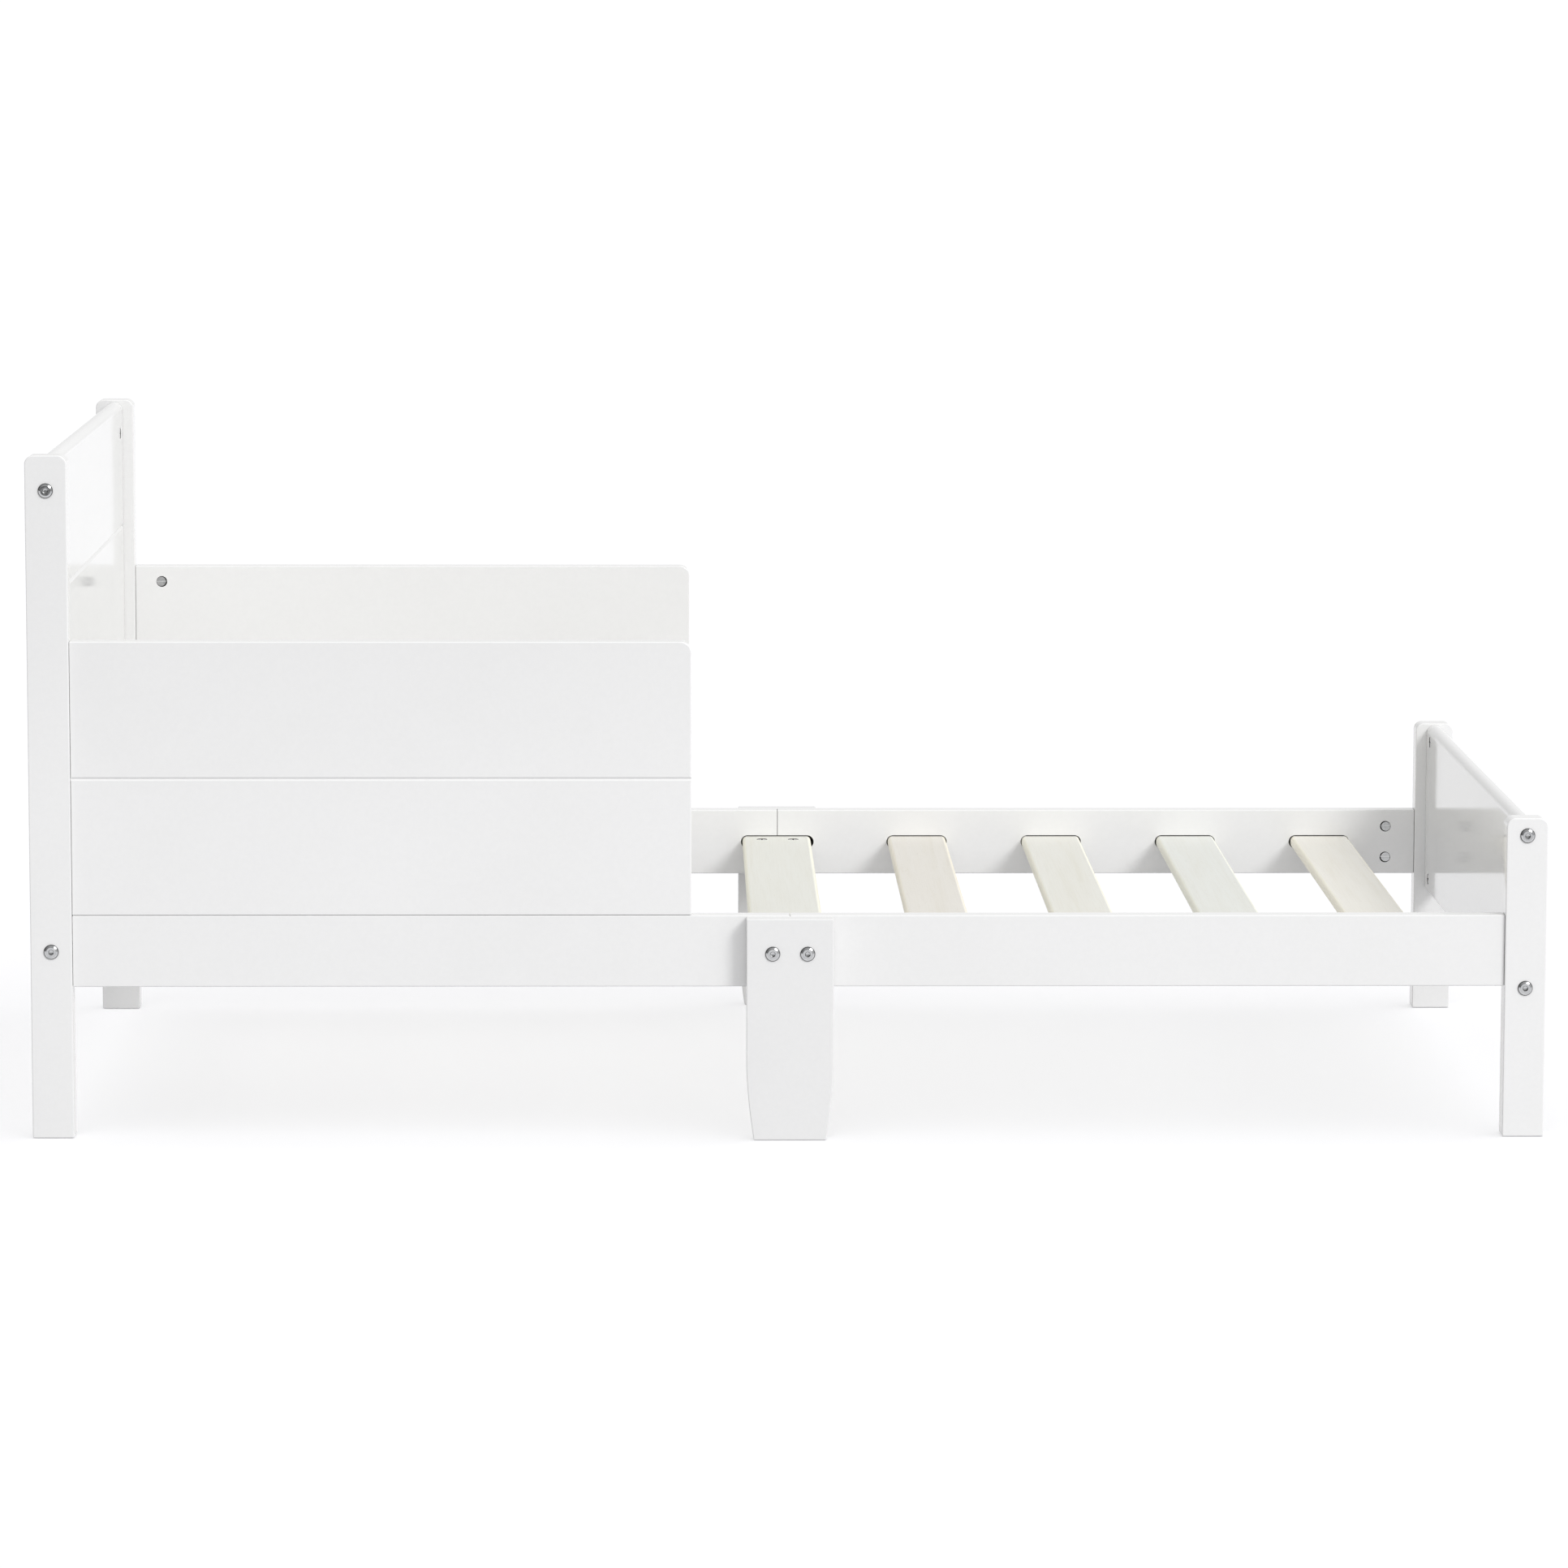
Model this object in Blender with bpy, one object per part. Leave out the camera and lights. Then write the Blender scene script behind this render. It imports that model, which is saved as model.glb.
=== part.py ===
"""Toddler bed: four flat posts, a headboard and a footboard panel bolted between
them, two side rails made of two halves each, two centre legs bolted over the
joints of the rails, two guard panels at the head half, and nine slats that lie in
blind slots in the rails. Metres, +Z up, head at -X, foot at +X. The floor is Z = 0
and the origin is the middle of the footprint."""

import math

import bmesh
import bpy
from mathutils import Matrix

# ---------------------------------------------------------------- dimensions
LENGTH = 1.390  # over the posts, head to foot
WIDTH = 0.754  # over the posts, side to side
GAP = 0.0003  # clearance between pieces that touch

POST_W = 0.038  # along X
POST_T = 0.025  # along Y
HEAD_POST_H = 0.628
FOOT_POST_H = 0.296
POST_CORNER_R = 0.008  # the two top corners
POST_EDGE_R = 0.002

PANEL_T = 0.016
HEAD_PANEL_Z0 = 0.160
HEAD_PANEL_Z1 = 0.626
HEAD_GROOVES_Z = (0.500, 0.374, 0.248)
HEAD_GROOVE_W = 0.0042
FOOT_PANEL_Z0 = 0.126
FOOT_PANEL_Z1 = 0.2945

RAIL_T = 0.018
RAIL_INSET = 0.0035  # behind the outer face of the posts
RAIL_Z0 = 0.140
RAIL_Z1 = 0.206
RAIL_EDGE_R = 0.0018

GUARD_T = 0.018
GUARD_L = 0.5666
GUARD_Z1 = 0.458
GUARD_GROOVE_Z = 0.332
GUARD_CORNER_R = 0.010
GROOVE_W = 0.0034
GROOVE_D = 0.0016

LEG_W = 0.080
LEG_FOOT_W = 0.0664
LEG_T = 0.018
LEG_H = 0.2052
LEG_EDGE_R = 0.0018

SLAT_W = 0.0595
CENTRE_SLAT_W = 0.070
SLAT_T = 0.012
SLAT_EDGE_R = 0.0052
SLAT_GAP = 0.0788  # between neighbouring slats
SLATS_EACH_HALF = 4
SLOT_H = 0.0135
SLOT_DEPTH = 0.010
SLOT_PLAY = 0.0026  # slot wider than its slat
CENTRE_SLOT_PLAY = 0.0048
SLAT_LIFT = 0.0004  # under a slat that lies on the floor of its slots
SLAT_OFF_CENTRE = {  # along X, within the play
    "slat_centre": -0.0008,
    "slat_foot_2": -0.0003,
    "slat_foot_3": 0.0002,
    "slat_foot_4": 0.0005,
    "slat_head_1": 0.0002,
    "slat_head_3": -0.0004,
    "slat_head_4": 0.0003,
}
SLAT_END_PLAY = 0.0010  # between a slat's end and the bottom of its slot

BOLT_R = 0.0030
BOLT_HOLE_R = 0.0034
BOLT_HEAD_R = 0.0068
BOLT_HEAD_FACE_R = 0.0046
BOLT_HEAD_H = 0.0021
BOLT_RIM_H = 0.0007
HEX_ACROSS_FLATS = 0.0040
HEX_DEPTH = 0.0016
COUNTERBORE_R = 0.0074  # for the heads on the end faces of the posts
COUNTERBORE_DEPTH = 0.0025
NUT_R = 0.0048
NUT_HOLE_R = 0.0055
NUT_PULL = 0.0006  # a tightened bolt draws its nut towards the post or the leg
NUT_BELOW_FACE = 0.0004
NUT_SLOT_W = 0.0012
NUT_SLOT_D = 0.0011
BOLT_PAST_NUT = 0.0065

PANEL_NUT_IN = 0.028  # from the side edge of the panel to the nut
RAIL_NUT_IN = 0.030  # from the end of the rail to the nut
GUARD_NUT_IN = 0.027
LEG_NUT_IN = 0.022  # from the inner face of the rail to the nut in the slat
BOLT_PITCH = 0.032  # each pair in a rail end, and the pair through a leg
HEAD_BOLTS_Z = (0.596, 0.173)
FOOT_BOLTS_Z = (0.280, 0.1385)
GUARD_BOLTS_Z = (0.442, 0.222)

# ------------------------------------------------------------ derived places
X_HEAD = -LENGTH / 2
X_FOOT = LENGTH / 2
Y_POST = WIDTH / 2  # outer face of the posts
Y_PANEL = Y_POST - POST_T  # inner face of the posts, where the panels end
Y_RAIL_OUT = Y_POST - RAIL_INSET
Y_RAIL_IN = Y_RAIL_OUT - RAIL_T
Y_RAIL_MID = Y_POST - RAIL_INSET - RAIL_T / 2
X_RAIL_HEAD = X_HEAD + POST_W
X_RAIL_FOOT = X_FOOT - POST_W
RAIL_MID_Z = (RAIL_Z0 + RAIL_Z1) / 2
SLAT_Z0 = RAIL_MID_Z - SLOT_H / 2 + SLAT_LIFT
X_GUARD_END = X_RAIL_HEAD + GUARD_L
SIDES = (("near", -1), ("far", 1))

for old in list(bpy.data.objects):
    bpy.data.objects.remove(old, do_unlink=True)

root = bpy.data.objects.new("toddler_bed", None)
bpy.context.scene.collection.objects.link(root)


# ------------------------------------------------------------------- helpers
def principled(name, colour, metallic, roughness):
    material = bpy.data.materials.new(name)
    material.use_nodes = True
    shader = material.node_tree.nodes["Principled BSDF"]
    shader.inputs["Base Color"].default_value = (*colour, 1.0)
    shader.inputs["Metallic"].default_value = metallic
    shader.inputs["Roughness"].default_value = roughness
    material.diffuse_color = (*colour, 1.0)
    return material


FINISHES = {
    "paint": ((0.86, 0.86, 0.855), 0.0, 0.32),
    "wood": ((0.74, 0.69, 0.57), 0.0, 0.62),
    "zinc": ((0.56, 0.57, 0.58), 1.0, 0.30),
}


def place(name, mesh, finish, location=(0, 0, 0), rotation=(0, 0, 0)):
    """One piece of the bed, with a material of its own on the object."""
    obj = bpy.data.objects.new(name, mesh)
    bpy.context.scene.collection.objects.link(obj)
    obj.location = location
    obj.rotation_euler = rotation
    obj.parent = root
    if not mesh.materials:
        mesh.materials.append(None)
    obj.material_slots[0].link = "OBJECT"
    obj.material_slots[0].material = principled(f"{name}_{finish}", *FINISHES[finish])
    return obj


def helper(name, mesh):
    """A cutter: it takes part in Booleans only."""
    obj = bpy.data.objects.new(name, mesh)
    bpy.context.scene.collection.objects.link(obj)
    obj.hide_render = True
    obj.display_type = "WIRE"
    return obj


def arc(cx, cz, radius, start, end, steps):
    """Points of an arc, in degrees, both ends included."""
    return [
        (
            cx + radius * math.cos(math.radians(start + (end - start) * i / steps)),
            cz + radius * math.sin(math.radians(start + (end - start) * i / steps)),
        )
        for i in range(steps + 1)
    ]


def rounded_box_outline(a0, a1, b0, b1, radius, steps=2):
    """Rectangle with its four corners rounded, anticlockwise."""
    return (
        arc(a1 - radius, b0 + radius, radius, -90, 0, steps)
        + arc(a1 - radius, b1 - radius, radius, 0, 90, steps)
        + arc(a0 + radius, b1 - radius, radius, 90, 180, steps)
        + arc(a0 + radius, b0 + radius, radius, 180, 270, steps)
    )


def extruded(parts):
    """Closed prisms in one mesh. Each part is (axis, outline, low, high): the
    outline is (X, Z) for axis Y, (Y, Z) for axis X and (X, Y) for axis Z."""
    bm = bmesh.new()
    for axis, outline, low, high in parts:

        def point(a, b, c, axis=axis):
            return {"X": (c, a, b), "Y": (a, c, b), "Z": (a, b, c)}[axis]

        bottom = [bm.verts.new(point(a, b, low)) for a, b in outline]
        top = [bm.verts.new(point(a, b, high)) for a, b in outline]
        count = len(outline)
        bm.faces.new(bottom)
        bm.faces.new(list(reversed(top)))
        for i in range(count):
            j = (i + 1) % count
            bm.faces.new((bottom[j], bottom[i], top[i], top[j]))
    bmesh.ops.recalc_face_normals(bm, faces=bm.faces)
    mesh = bpy.data.meshes.new("prism")
    bm.to_mesh(mesh)
    bm.free()
    return mesh


def circle(cx, cz, radius, sides, turn=0.0):
    return [
        (
            cx + radius * math.cos(math.radians(turn + 360 * i / sides)),
            cz + radius * math.sin(math.radians(turn + 360 * i / sides)),
        )
        for i in range(sides)
    ]


def soften(obj, width, segments=2):
    bevel = obj.modifiers.new("edges", "BEVEL")
    bevel.width = width
    bevel.segments = segments
    bevel.limit_method = "ANGLE"
    bevel.angle_limit = math.radians(40)
    bevel.harden_normals = True


def cut(obj, name, parts):
    """Takes the prisms, given in world coordinates, out of the piece."""
    cutter = helper(name, extruded(parts))
    boolean = obj.modifiers.new("cut", "BOOLEAN")
    boolean.operation = "DIFFERENCE"
    boolean.solver = "EXACT"
    boolean.object = cutter
    return cutter


def centred(parts, origin):
    """The same prisms measured from a piece's own origin."""
    ox, oy, oz = origin
    moved = []
    for axis, outline, low, high in parts:
        a, b, c = {"X": (oy, oz, ox), "Y": (ox, oz, oy), "Z": (ox, oy, oz)}[axis]
        moved.append((axis, [(p - a, q - b) for p, q in outline], low - c, high - c))
    return moved


def piece(name, finish, origin, part):
    return place(name, extruded(centred([part], origin)), finish, origin)


def bolt_bore_y(x, z, y0, y1):
    return ("Y", circle(x, z, BOLT_HOLE_R, 8), min(y0, y1), max(y0, y1))


def bolt_bore_x(y, z, x0, x1):
    return ("X", circle(y, z, BOLT_HOLE_R, 8), min(x0, x1), max(x0, x1))


# --------------------------------------------------------------------- posts
def post(name, x_mid, side, height, panel_bolts, end_bolts):
    """A flat board with two rounded top corners. The bolts of the panel pass
    through it along Y, those of the rail and the guard along X, with their heads
    sunk in counterbores in the end face."""
    r, half = POST_CORNER_R, POST_W / 2
    outline = (
        [(x_mid - half, 0.0), (x_mid + half, 0.0)]
        + arc(x_mid + half - r, height - r, r, 0, 90, 5)
        + arc(x_mid - half + r, height - r, r, 90, 180, 5)
    )
    y_out, y_in = side * Y_POST, side * (Y_PANEL + GAP / 2)
    obj = piece(
        name,
        "paint",
        (x_mid, side * (Y_POST - POST_T / 2), 0.0),
        ("Y", outline, min(y_out, y_in), max(y_out, y_in)),
    )
    soften(obj, POST_EDGE_R)
    bores = [
        bolt_bore_y(x_mid, z, y_out + side * 0.01, y_in - side * 0.01)
        for z in panel_bolts
    ]
    bores += [
        bolt_bore_x(side * Y_RAIL_MID, z, x_mid - half - 0.01, x_mid + half + 0.01)
        for z in end_bolts
    ]
    cut(obj, f"cut_{name}", bores)
    end = 1 if x_mid > 0 else -1
    x_out, x_seat = x_mid + end * (half + 0.01), x_mid + end * (half - COUNTERBORE_DEPTH)
    cut(
        obj,
        f"cut_{name}_heads",
        [
            (
                "X",
                circle(side * Y_RAIL_MID, z, COUNTERBORE_R, 16),
                min(x_out, x_seat),
                max(x_out, x_seat),
            )
            for z in end_bolts
        ],
    )
    return obj


RAIL_BOLTS_Z = (RAIL_MID_Z - BOLT_PITCH / 2, RAIL_MID_Z + BOLT_PITCH / 2)
X_HEAD_POST = X_HEAD + POST_W / 2
X_FOOT_POST = X_FOOT - POST_W / 2
for label, side in SIDES:
    post(
        f"head_post_{label}",
        X_HEAD_POST,
        side,
        HEAD_POST_H,
        HEAD_BOLTS_Z,
        RAIL_BOLTS_Z + GUARD_BOLTS_Z,
    )
    post(
        f"foot_post_{label}",
        X_FOOT_POST,
        side,
        FOOT_POST_H,
        FOOT_BOLTS_Z,
        RAIL_BOLTS_Z,
    )


# -------------------------------------------------------------------- panels
def panel(name, x_mid, inward, z0, z1, grooves, bolts):
    """A board with a full-round top edge and V-grooves along both faces."""
    half, r, w, d = PANEL_T / 2, PANEL_T / 2, HEAD_GROOVE_W / 2, GROOVE_D
    e = 0.0015
    outline = [(x_mid - half + e, z0), (x_mid + half - e, z0), (x_mid + half, z0 + e)]
    for z in sorted(grooves):
        outline += [
            (x_mid + half, z - w),
            (x_mid + half - d, z),
            (x_mid + half, z + w),
        ]
    outline += arc(x_mid, z1 - r, r, 0, 180, 10)
    for z in sorted(grooves, reverse=True):
        outline += [
            (x_mid - half, z + w),
            (x_mid - half + d, z),
            (x_mid - half, z - w),
        ]
    outline += [(x_mid - half, z0 + e)]
    reach = Y_PANEL - GAP / 2
    obj = piece(
        name, "paint", (x_mid, 0.0, (z0 + z1) / 2), ("Y", outline, -reach, reach)
    )
    bores = []
    for _, side in SIDES:
        y_nut = side * (Y_PANEL - PANEL_NUT_IN)
        for z in bolts:
            bores.append(
                bolt_bore_y(
                    x_mid, z, side * (Y_PANEL + 0.01), y_nut - side * 0.0095
                )
            )
    cut(obj, f"cut_{name}_bolts", bores)
    nuts = []
    for _, side in SIDES:
        y_nut = side * (Y_PANEL - PANEL_NUT_IN)
        for z in bolts:
            x_face = x_mid + inward * (half + 0.01)
            x_deep = x_mid - inward * 0.0056
            nuts.append(
                (
                    "X",
                    circle(y_nut, z, NUT_HOLE_R, 12),
                    min(x_face, x_deep),
                    max(x_face, x_deep),
                )
            )
    cut(obj, f"cut_{name}_nuts", nuts)
    return obj


panel(
    "headboard_panel",
    X_HEAD_POST,
    1,
    HEAD_PANEL_Z0,
    HEAD_PANEL_Z1,
    HEAD_GROOVES_Z,
    HEAD_BOLTS_Z,
)
panel(
    "footboard_panel", X_FOOT_POST, -1, FOOT_PANEL_Z0, FOOT_PANEL_Z1, (), FOOT_BOLTS_Z
)

# --------------------------------------------------------------------- slats
# The centre slat lies over the joint of the rails. The others follow it at equal
# clear gaps towards the head and the foot.
slat_places = [("slat_centre", 0.0, CENTRE_SLAT_W, CENTRE_SLOT_PLAY)]
for i in range(SLATS_EACH_HALF):
    x = (
        CENTRE_SLAT_W / 2
        + SLAT_GAP
        + SLAT_W / 2
        + i * (SLAT_W + SLAT_GAP)
    )
    slat_places.append((f"slat_head_{i + 1}", -x, SLAT_W, SLOT_PLAY))
    slat_places.append((f"slat_foot_{i + 1}", x, SLAT_W, SLOT_PLAY))

SLAT_REACH = Y_RAIL_IN + SLOT_DEPTH - SLAT_END_PLAY
for name, x_slot, width, play in slat_places:
    x = x_slot + SLAT_OFF_CENTRE.get(name, 0.0)
    outline = rounded_box_outline(
        x - width / 2, x + width / 2, SLAT_Z0, SLAT_Z0 + SLAT_T, SLAT_EDGE_R, 4
    )
    obj = piece(
        name,
        "wood",
        (x, 0.0, SLAT_Z0 + SLAT_T / 2),
        ("Y", outline, -SLAT_REACH, SLAT_REACH),
    )
    if name == "slat_centre":
        bores, nuts = [], []
        for _, side in SIDES:
            y_nut = side * (Y_RAIL_IN - LEG_NUT_IN)
            for dx in (-BOLT_PITCH / 2, BOLT_PITCH / 2):
                bores.append(
                    bolt_bore_y(
                        dx,
                        RAIL_MID_Z,
                        side * (SLAT_REACH + 0.01),
                        y_nut - side * 0.0095,
                    )
                )
                nuts.append(
                    (
                        "Z",
                        circle(dx, y_nut, NUT_HOLE_R, 12),
                        SLAT_Z0 - 0.01,
                        SLAT_Z0 + SLAT_T + 0.01,
                    )
                )
        cut(obj, "cut_slat_centre_bolts", bores)
        cut(obj, "cut_slat_centre_nuts", nuts)


# --------------------------------------------------------------- side rails
def pill(x, width):
    """Outline of a slot with round ends."""
    r = SLOT_H / 2
    return arc(x + width / 2 - r, RAIL_MID_Z, r, -90, 90, 12) + arc(
        x - width / 2 + r, RAIL_MID_Z, r, 90, 270, 12
    )


def half_rail(name, side, end):
    """Half of a side rail. end is -1 for the head half and 1 for the foot half.
    Its inner face holds the slots of four slats and half the slot of the centre
    slat, and two barrel nuts near the post."""
    x_post = end * (X_RAIL_FOOT - GAP / 2)
    x_joint = end * GAP / 2
    ys = sorted((side * Y_RAIL_OUT, side * Y_RAIL_IN))
    obj = piece(
        name,
        "paint",
        ((x_post + x_joint) / 2, side * Y_RAIL_MID, RAIL_MID_Z),
        (
            "X",
            rounded_box_outline(ys[0], ys[1], RAIL_Z0, RAIL_Z1, RAIL_EDGE_R, 2),
            min(x_post, x_joint),
            max(x_post, x_joint),
        ),
    )
    y_open = side * (Y_RAIL_IN - 0.01)
    y_floor = side * (Y_RAIL_IN + SLOT_DEPTH)
    slots = [
        ("Y", pill(x, width + play), min(y_open, y_floor), max(y_open, y_floor))
        for _, x, width, play in slat_places
        if x * end >= 0
    ]
    cut(obj, f"cut_{name}_slots", slots)
    x_nut = end * (X_RAIL_FOOT - RAIL_NUT_IN)
    bores = [
        bolt_bore_x(
            side * Y_RAIL_MID, z, end * (X_RAIL_FOOT + 0.01), x_nut - end * 0.0095
        )
        for z in RAIL_BOLTS_Z
    ]
    bores.append(
        bolt_bore_y(
            end * BOLT_PITCH / 2,
            RAIL_MID_Z,
            side * (Y_RAIL_OUT + 0.01),
            side * (Y_RAIL_IN - 0.01),
        )
    )
    cut(obj, f"cut_{name}_bolts", bores)
    y_deep = side * (Y_RAIL_MID + 0.006)
    nuts = [
        ("Y", circle(x_nut, z, NUT_HOLE_R, 12), min(y_open, y_deep), max(y_open, y_deep))
        for z in RAIL_BOLTS_Z
    ]
    cut(obj, f"cut_{name}_nuts", nuts)
    return obj


for label, side in SIDES:
    half_rail(f"side_rail_{label}_head", side, -1)
    half_rail(f"side_rail_{label}_foot", side, 1)


# --------------------------------------------------------------- centre legs
def leg(name, side):
    """A board bolted on the outside of the rail, over the joint of its halves.
    Its sides are straight and curve in towards the floor."""
    w, f = LEG_W / 2, LEG_FOOT_W / 2
    side_curve = []
    for i in range(7):
        t = i / 6
        z = 0.070 * t
        side_curve.append((w - (w - f) * (1 - t) ** 1.6, z))
    right = side_curve + [(w, LEG_H)]
    outline = right + [(-x, z) for x, z in reversed(right)]
    ys = sorted(
        (side * (Y_RAIL_OUT + GAP), side * (Y_RAIL_OUT + GAP + LEG_T))
    )
    obj = piece(
        name, "paint", (0.0, (ys[0] + ys[1]) / 2, 0.0), ("Y", outline, ys[0], ys[1])
    )
    soften(obj, LEG_EDGE_R)
    cut(
        obj,
        f"cut_{name}",
        [
            bolt_bore_y(dx, RAIL_MID_Z, ys[0] - 0.01, ys[1] + 0.01)
            for dx in (-BOLT_PITCH / 2, BOLT_PITCH / 2)
        ],
    )
    return obj


Y_LEG_OUT = Y_RAIL_OUT + GAP + LEG_T
for label, side in SIDES:
    leg(f"centre_leg_{label}", side)


# -------------------------------------------------------------- guard panels
def guard(name, side):
    """A board that stands on the rail against the head post. The top corner of
    its free end is rounded, and a V-groove runs along the middle of each face."""
    x0, x1 = X_RAIL_HEAD + GAP / 2, X_GUARD_END
    z0, z1, r = RAIL_Z1 + GAP, GUARD_Z1, GUARD_CORNER_R
    outline = [(x0, z0), (x1, z0)] + arc(x1 - r, z1 - r, r, 0, 90, 6) + [(x0, z1)]
    ys = sorted((side * Y_RAIL_OUT, side * (Y_RAIL_OUT - GUARD_T)))
    obj = piece(
        name,
        "paint",
        ((x0 + x1) / 2, side * Y_RAIL_MID, (z0 + z1) / 2),
        ("Y", outline, ys[0], ys[1]),
    )
    soften(obj, 0.0018)
    grooves = []
    for y, out in ((ys[0], -1), (ys[1], 1)):
        tip = (y - out * GROOVE_D, GUARD_GROOVE_Z)
        far_out = 0.004
        widen = (GROOVE_W / 2) * (GROOVE_D + far_out) / GROOVE_D
        grooves.append(
            (
                "X",
                [
                    tip,
                    (y + out * far_out, GUARD_GROOVE_Z - widen),
                    (y + out * far_out, GUARD_GROOVE_Z + widen),
                ],
                x0 - 0.01,
                x1 + 0.01,
            )
        )
    cut(obj, f"cut_{name}_grooves", grooves)
    x_nut = X_RAIL_HEAD + GUARD_NUT_IN
    cut(
        obj,
        f"cut_{name}_bolts",
        [
            bolt_bore_x(side * Y_RAIL_MID, z, x0 - 0.01, x_nut + 0.0095)
            for z in GUARD_BOLTS_Z
        ],
    )
    y_open = side * (Y_RAIL_IN - 0.01)
    y_deep = side * (Y_RAIL_MID + 0.006)
    cut(
        obj,
        f"cut_{name}_nuts",
        [
            ("Y", circle(x_nut, z, NUT_HOLE_R, 12), min(y_open, y_deep), max(y_open, y_deep))
            for z in GUARD_BOLTS_Z
        ],
    )
    return obj


for label, side in SIDES:
    guard(f"guard_panel_{label}", side)


# ----------------------------------------------------------------- fasteners
def hex_radius(angle, apothem):
    """Distance from the axis to the side of a hexagon, at an angle in degrees."""
    return apothem / math.cos(math.radians((angle % 60) - 30))


def bolt_mesh(name, length, sides=12):
    """Flat-headed bolt with a bevelled rim and a hexagon socket. The shank runs
    along +Y from the underside of the head, which is at the origin."""
    rings = [
        (length, BOLT_R - 0.0005, None),
        (length - 0.0006, BOLT_R, None),
        (0.0, BOLT_R, None),
        (0.0, BOLT_HEAD_R, None),
        (-BOLT_RIM_H, BOLT_HEAD_R, None),
        (-BOLT_HEAD_H, BOLT_HEAD_FACE_R, None),
        (-BOLT_HEAD_H, None, HEX_ACROSS_FLATS / 2),
        (-BOLT_HEAD_H + HEX_DEPTH, None, HEX_ACROSS_FLATS / 2),
    ]
    bm = bmesh.new()
    loops = []
    for y, radius, apothem in rings:
        loop = []
        for i in range(sides):
            angle = 360 * i / sides
            r = radius if apothem is None else hex_radius(angle, apothem)
            loop.append(
                bm.verts.new(
                    (
                        r * math.cos(math.radians(angle)),
                        y,
                        r * math.sin(math.radians(angle)),
                    )
                )
            )
        loops.append(loop)
    bm.faces.new(loops[0])
    bm.faces.new(list(reversed(loops[-1])))
    for a, b in zip(loops, loops[1:]):
        for i in range(sides):
            j = (i + 1) % sides
            bm.faces.new((a[i], a[j], b[j], b[i]))
    bmesh.ops.recalc_face_normals(bm, faces=bm.faces)
    mesh = bpy.data.meshes.new(name)
    bm.to_mesh(mesh)
    bm.free()
    return mesh


def evaluated(obj):
    """The mesh of an object with its modifiers, and the object removed."""
    graph = bpy.context.evaluated_depsgraph_get()
    graph.update()
    mesh = bpy.data.meshes.new_from_object(obj.evaluated_get(graph))
    return mesh


def nut_mesh(name, front, back, bored=True, sides=12):
    """Barrel nut along X, with a screwdriver slot across its front face and, for
    the bolt, a cross hole along Y through the origin."""
    body = helper(name, extruded([("X", circle(0, 0, NUT_R, sides), -back, front)]))
    parts = [
        (
            "Y",
            [
                (front - NUT_SLOT_D, -NUT_SLOT_W / 2),
                (front + 0.002, -NUT_SLOT_W / 2),
                (front + 0.002, NUT_SLOT_W / 2),
                (front - NUT_SLOT_D, NUT_SLOT_W / 2),
            ],
            -0.02,
            0.02,
        )
    ]
    if bored:
        parts.append(("Y", circle(0, 0, BOLT_R + 0.00035, 8), -0.02, 0.02))
    cutter = cut(body, f"cut_{name}", parts)
    mesh = evaluated(body)
    mesh.name = name
    bpy.data.objects.remove(body, do_unlink=True)
    bpy.data.objects.remove(cutter, do_unlink=True)
    return mesh


def bolt_with_nut_mesh(name, length, nut_in, front, back):
    """A bolt along +X, from the underside of its head at the origin, screwed into
    a barrel nut whose slotted face looks along +Y."""
    bolt = helper(f"{name}_bolt", bolt_mesh(name, length))
    bolt.data.transform(Matrix.Rotation(math.radians(-90), 4, "Z"))
    nut = helper(f"{name}_nut", nut_mesh(f"{name}_nut", front, back, bored=False))
    nut.data.transform(
        Matrix.Translation((nut_in, 0, 0)) @ Matrix.Rotation(math.radians(90), 4, "Z")
    )
    union = bolt.modifiers.new("join", "BOOLEAN")
    union.operation = "UNION"
    union.solver = "EXACT"
    union.object = nut
    mesh = evaluated(bolt)
    mesh.name = name
    bpy.data.objects.remove(bolt, do_unlink=True)
    bpy.data.objects.remove(nut, do_unlink=True)
    return mesh


HALF_TURN = math.pi
HEAD_LIFT = 0.0001  # clearance under a bolt head
HEAD_SEAT = COUNTERBORE_DEPTH - HEAD_LIFT  # underside of a sunk head, from the end face

panel_bolt = bolt_mesh("panel_bolt", POST_T + PANEL_NUT_IN + BOLT_PAST_NUT)
leg_bolt = bolt_mesh(
    "leg_bolt", (Y_LEG_OUT - Y_RAIL_IN) + LEG_NUT_IN + BOLT_PAST_NUT
)
panel_nut = nut_mesh("panel_nut", PANEL_T / 2 - NUT_BELOW_FACE, 0.0050)
leg_nut = nut_mesh(
    "leg_nut",
    SLAT_Z0 + SLAT_T - RAIL_MID_Z - NUT_BELOW_FACE,
    RAIL_MID_Z - SLAT_Z0 - NUT_BELOW_FACE,
)
rail_bolt = bolt_with_nut_mesh(
    "rail_bolt",
    POST_W + RAIL_NUT_IN + BOLT_PAST_NUT - HEAD_SEAT,
    POST_W + RAIL_NUT_IN - NUT_PULL - HEAD_SEAT,
    RAIL_T / 2 - NUT_BELOW_FACE,
    0.0054,
)
guard_bolt = bolt_with_nut_mesh(
    "guard_bolt",
    POST_W + GUARD_NUT_IN + BOLT_PAST_NUT - HEAD_SEAT,
    POST_W + GUARD_NUT_IN - NUT_PULL - HEAD_SEAT,
    GUARD_T / 2 - NUT_BELOW_FACE,
    0.0054,
)

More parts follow.
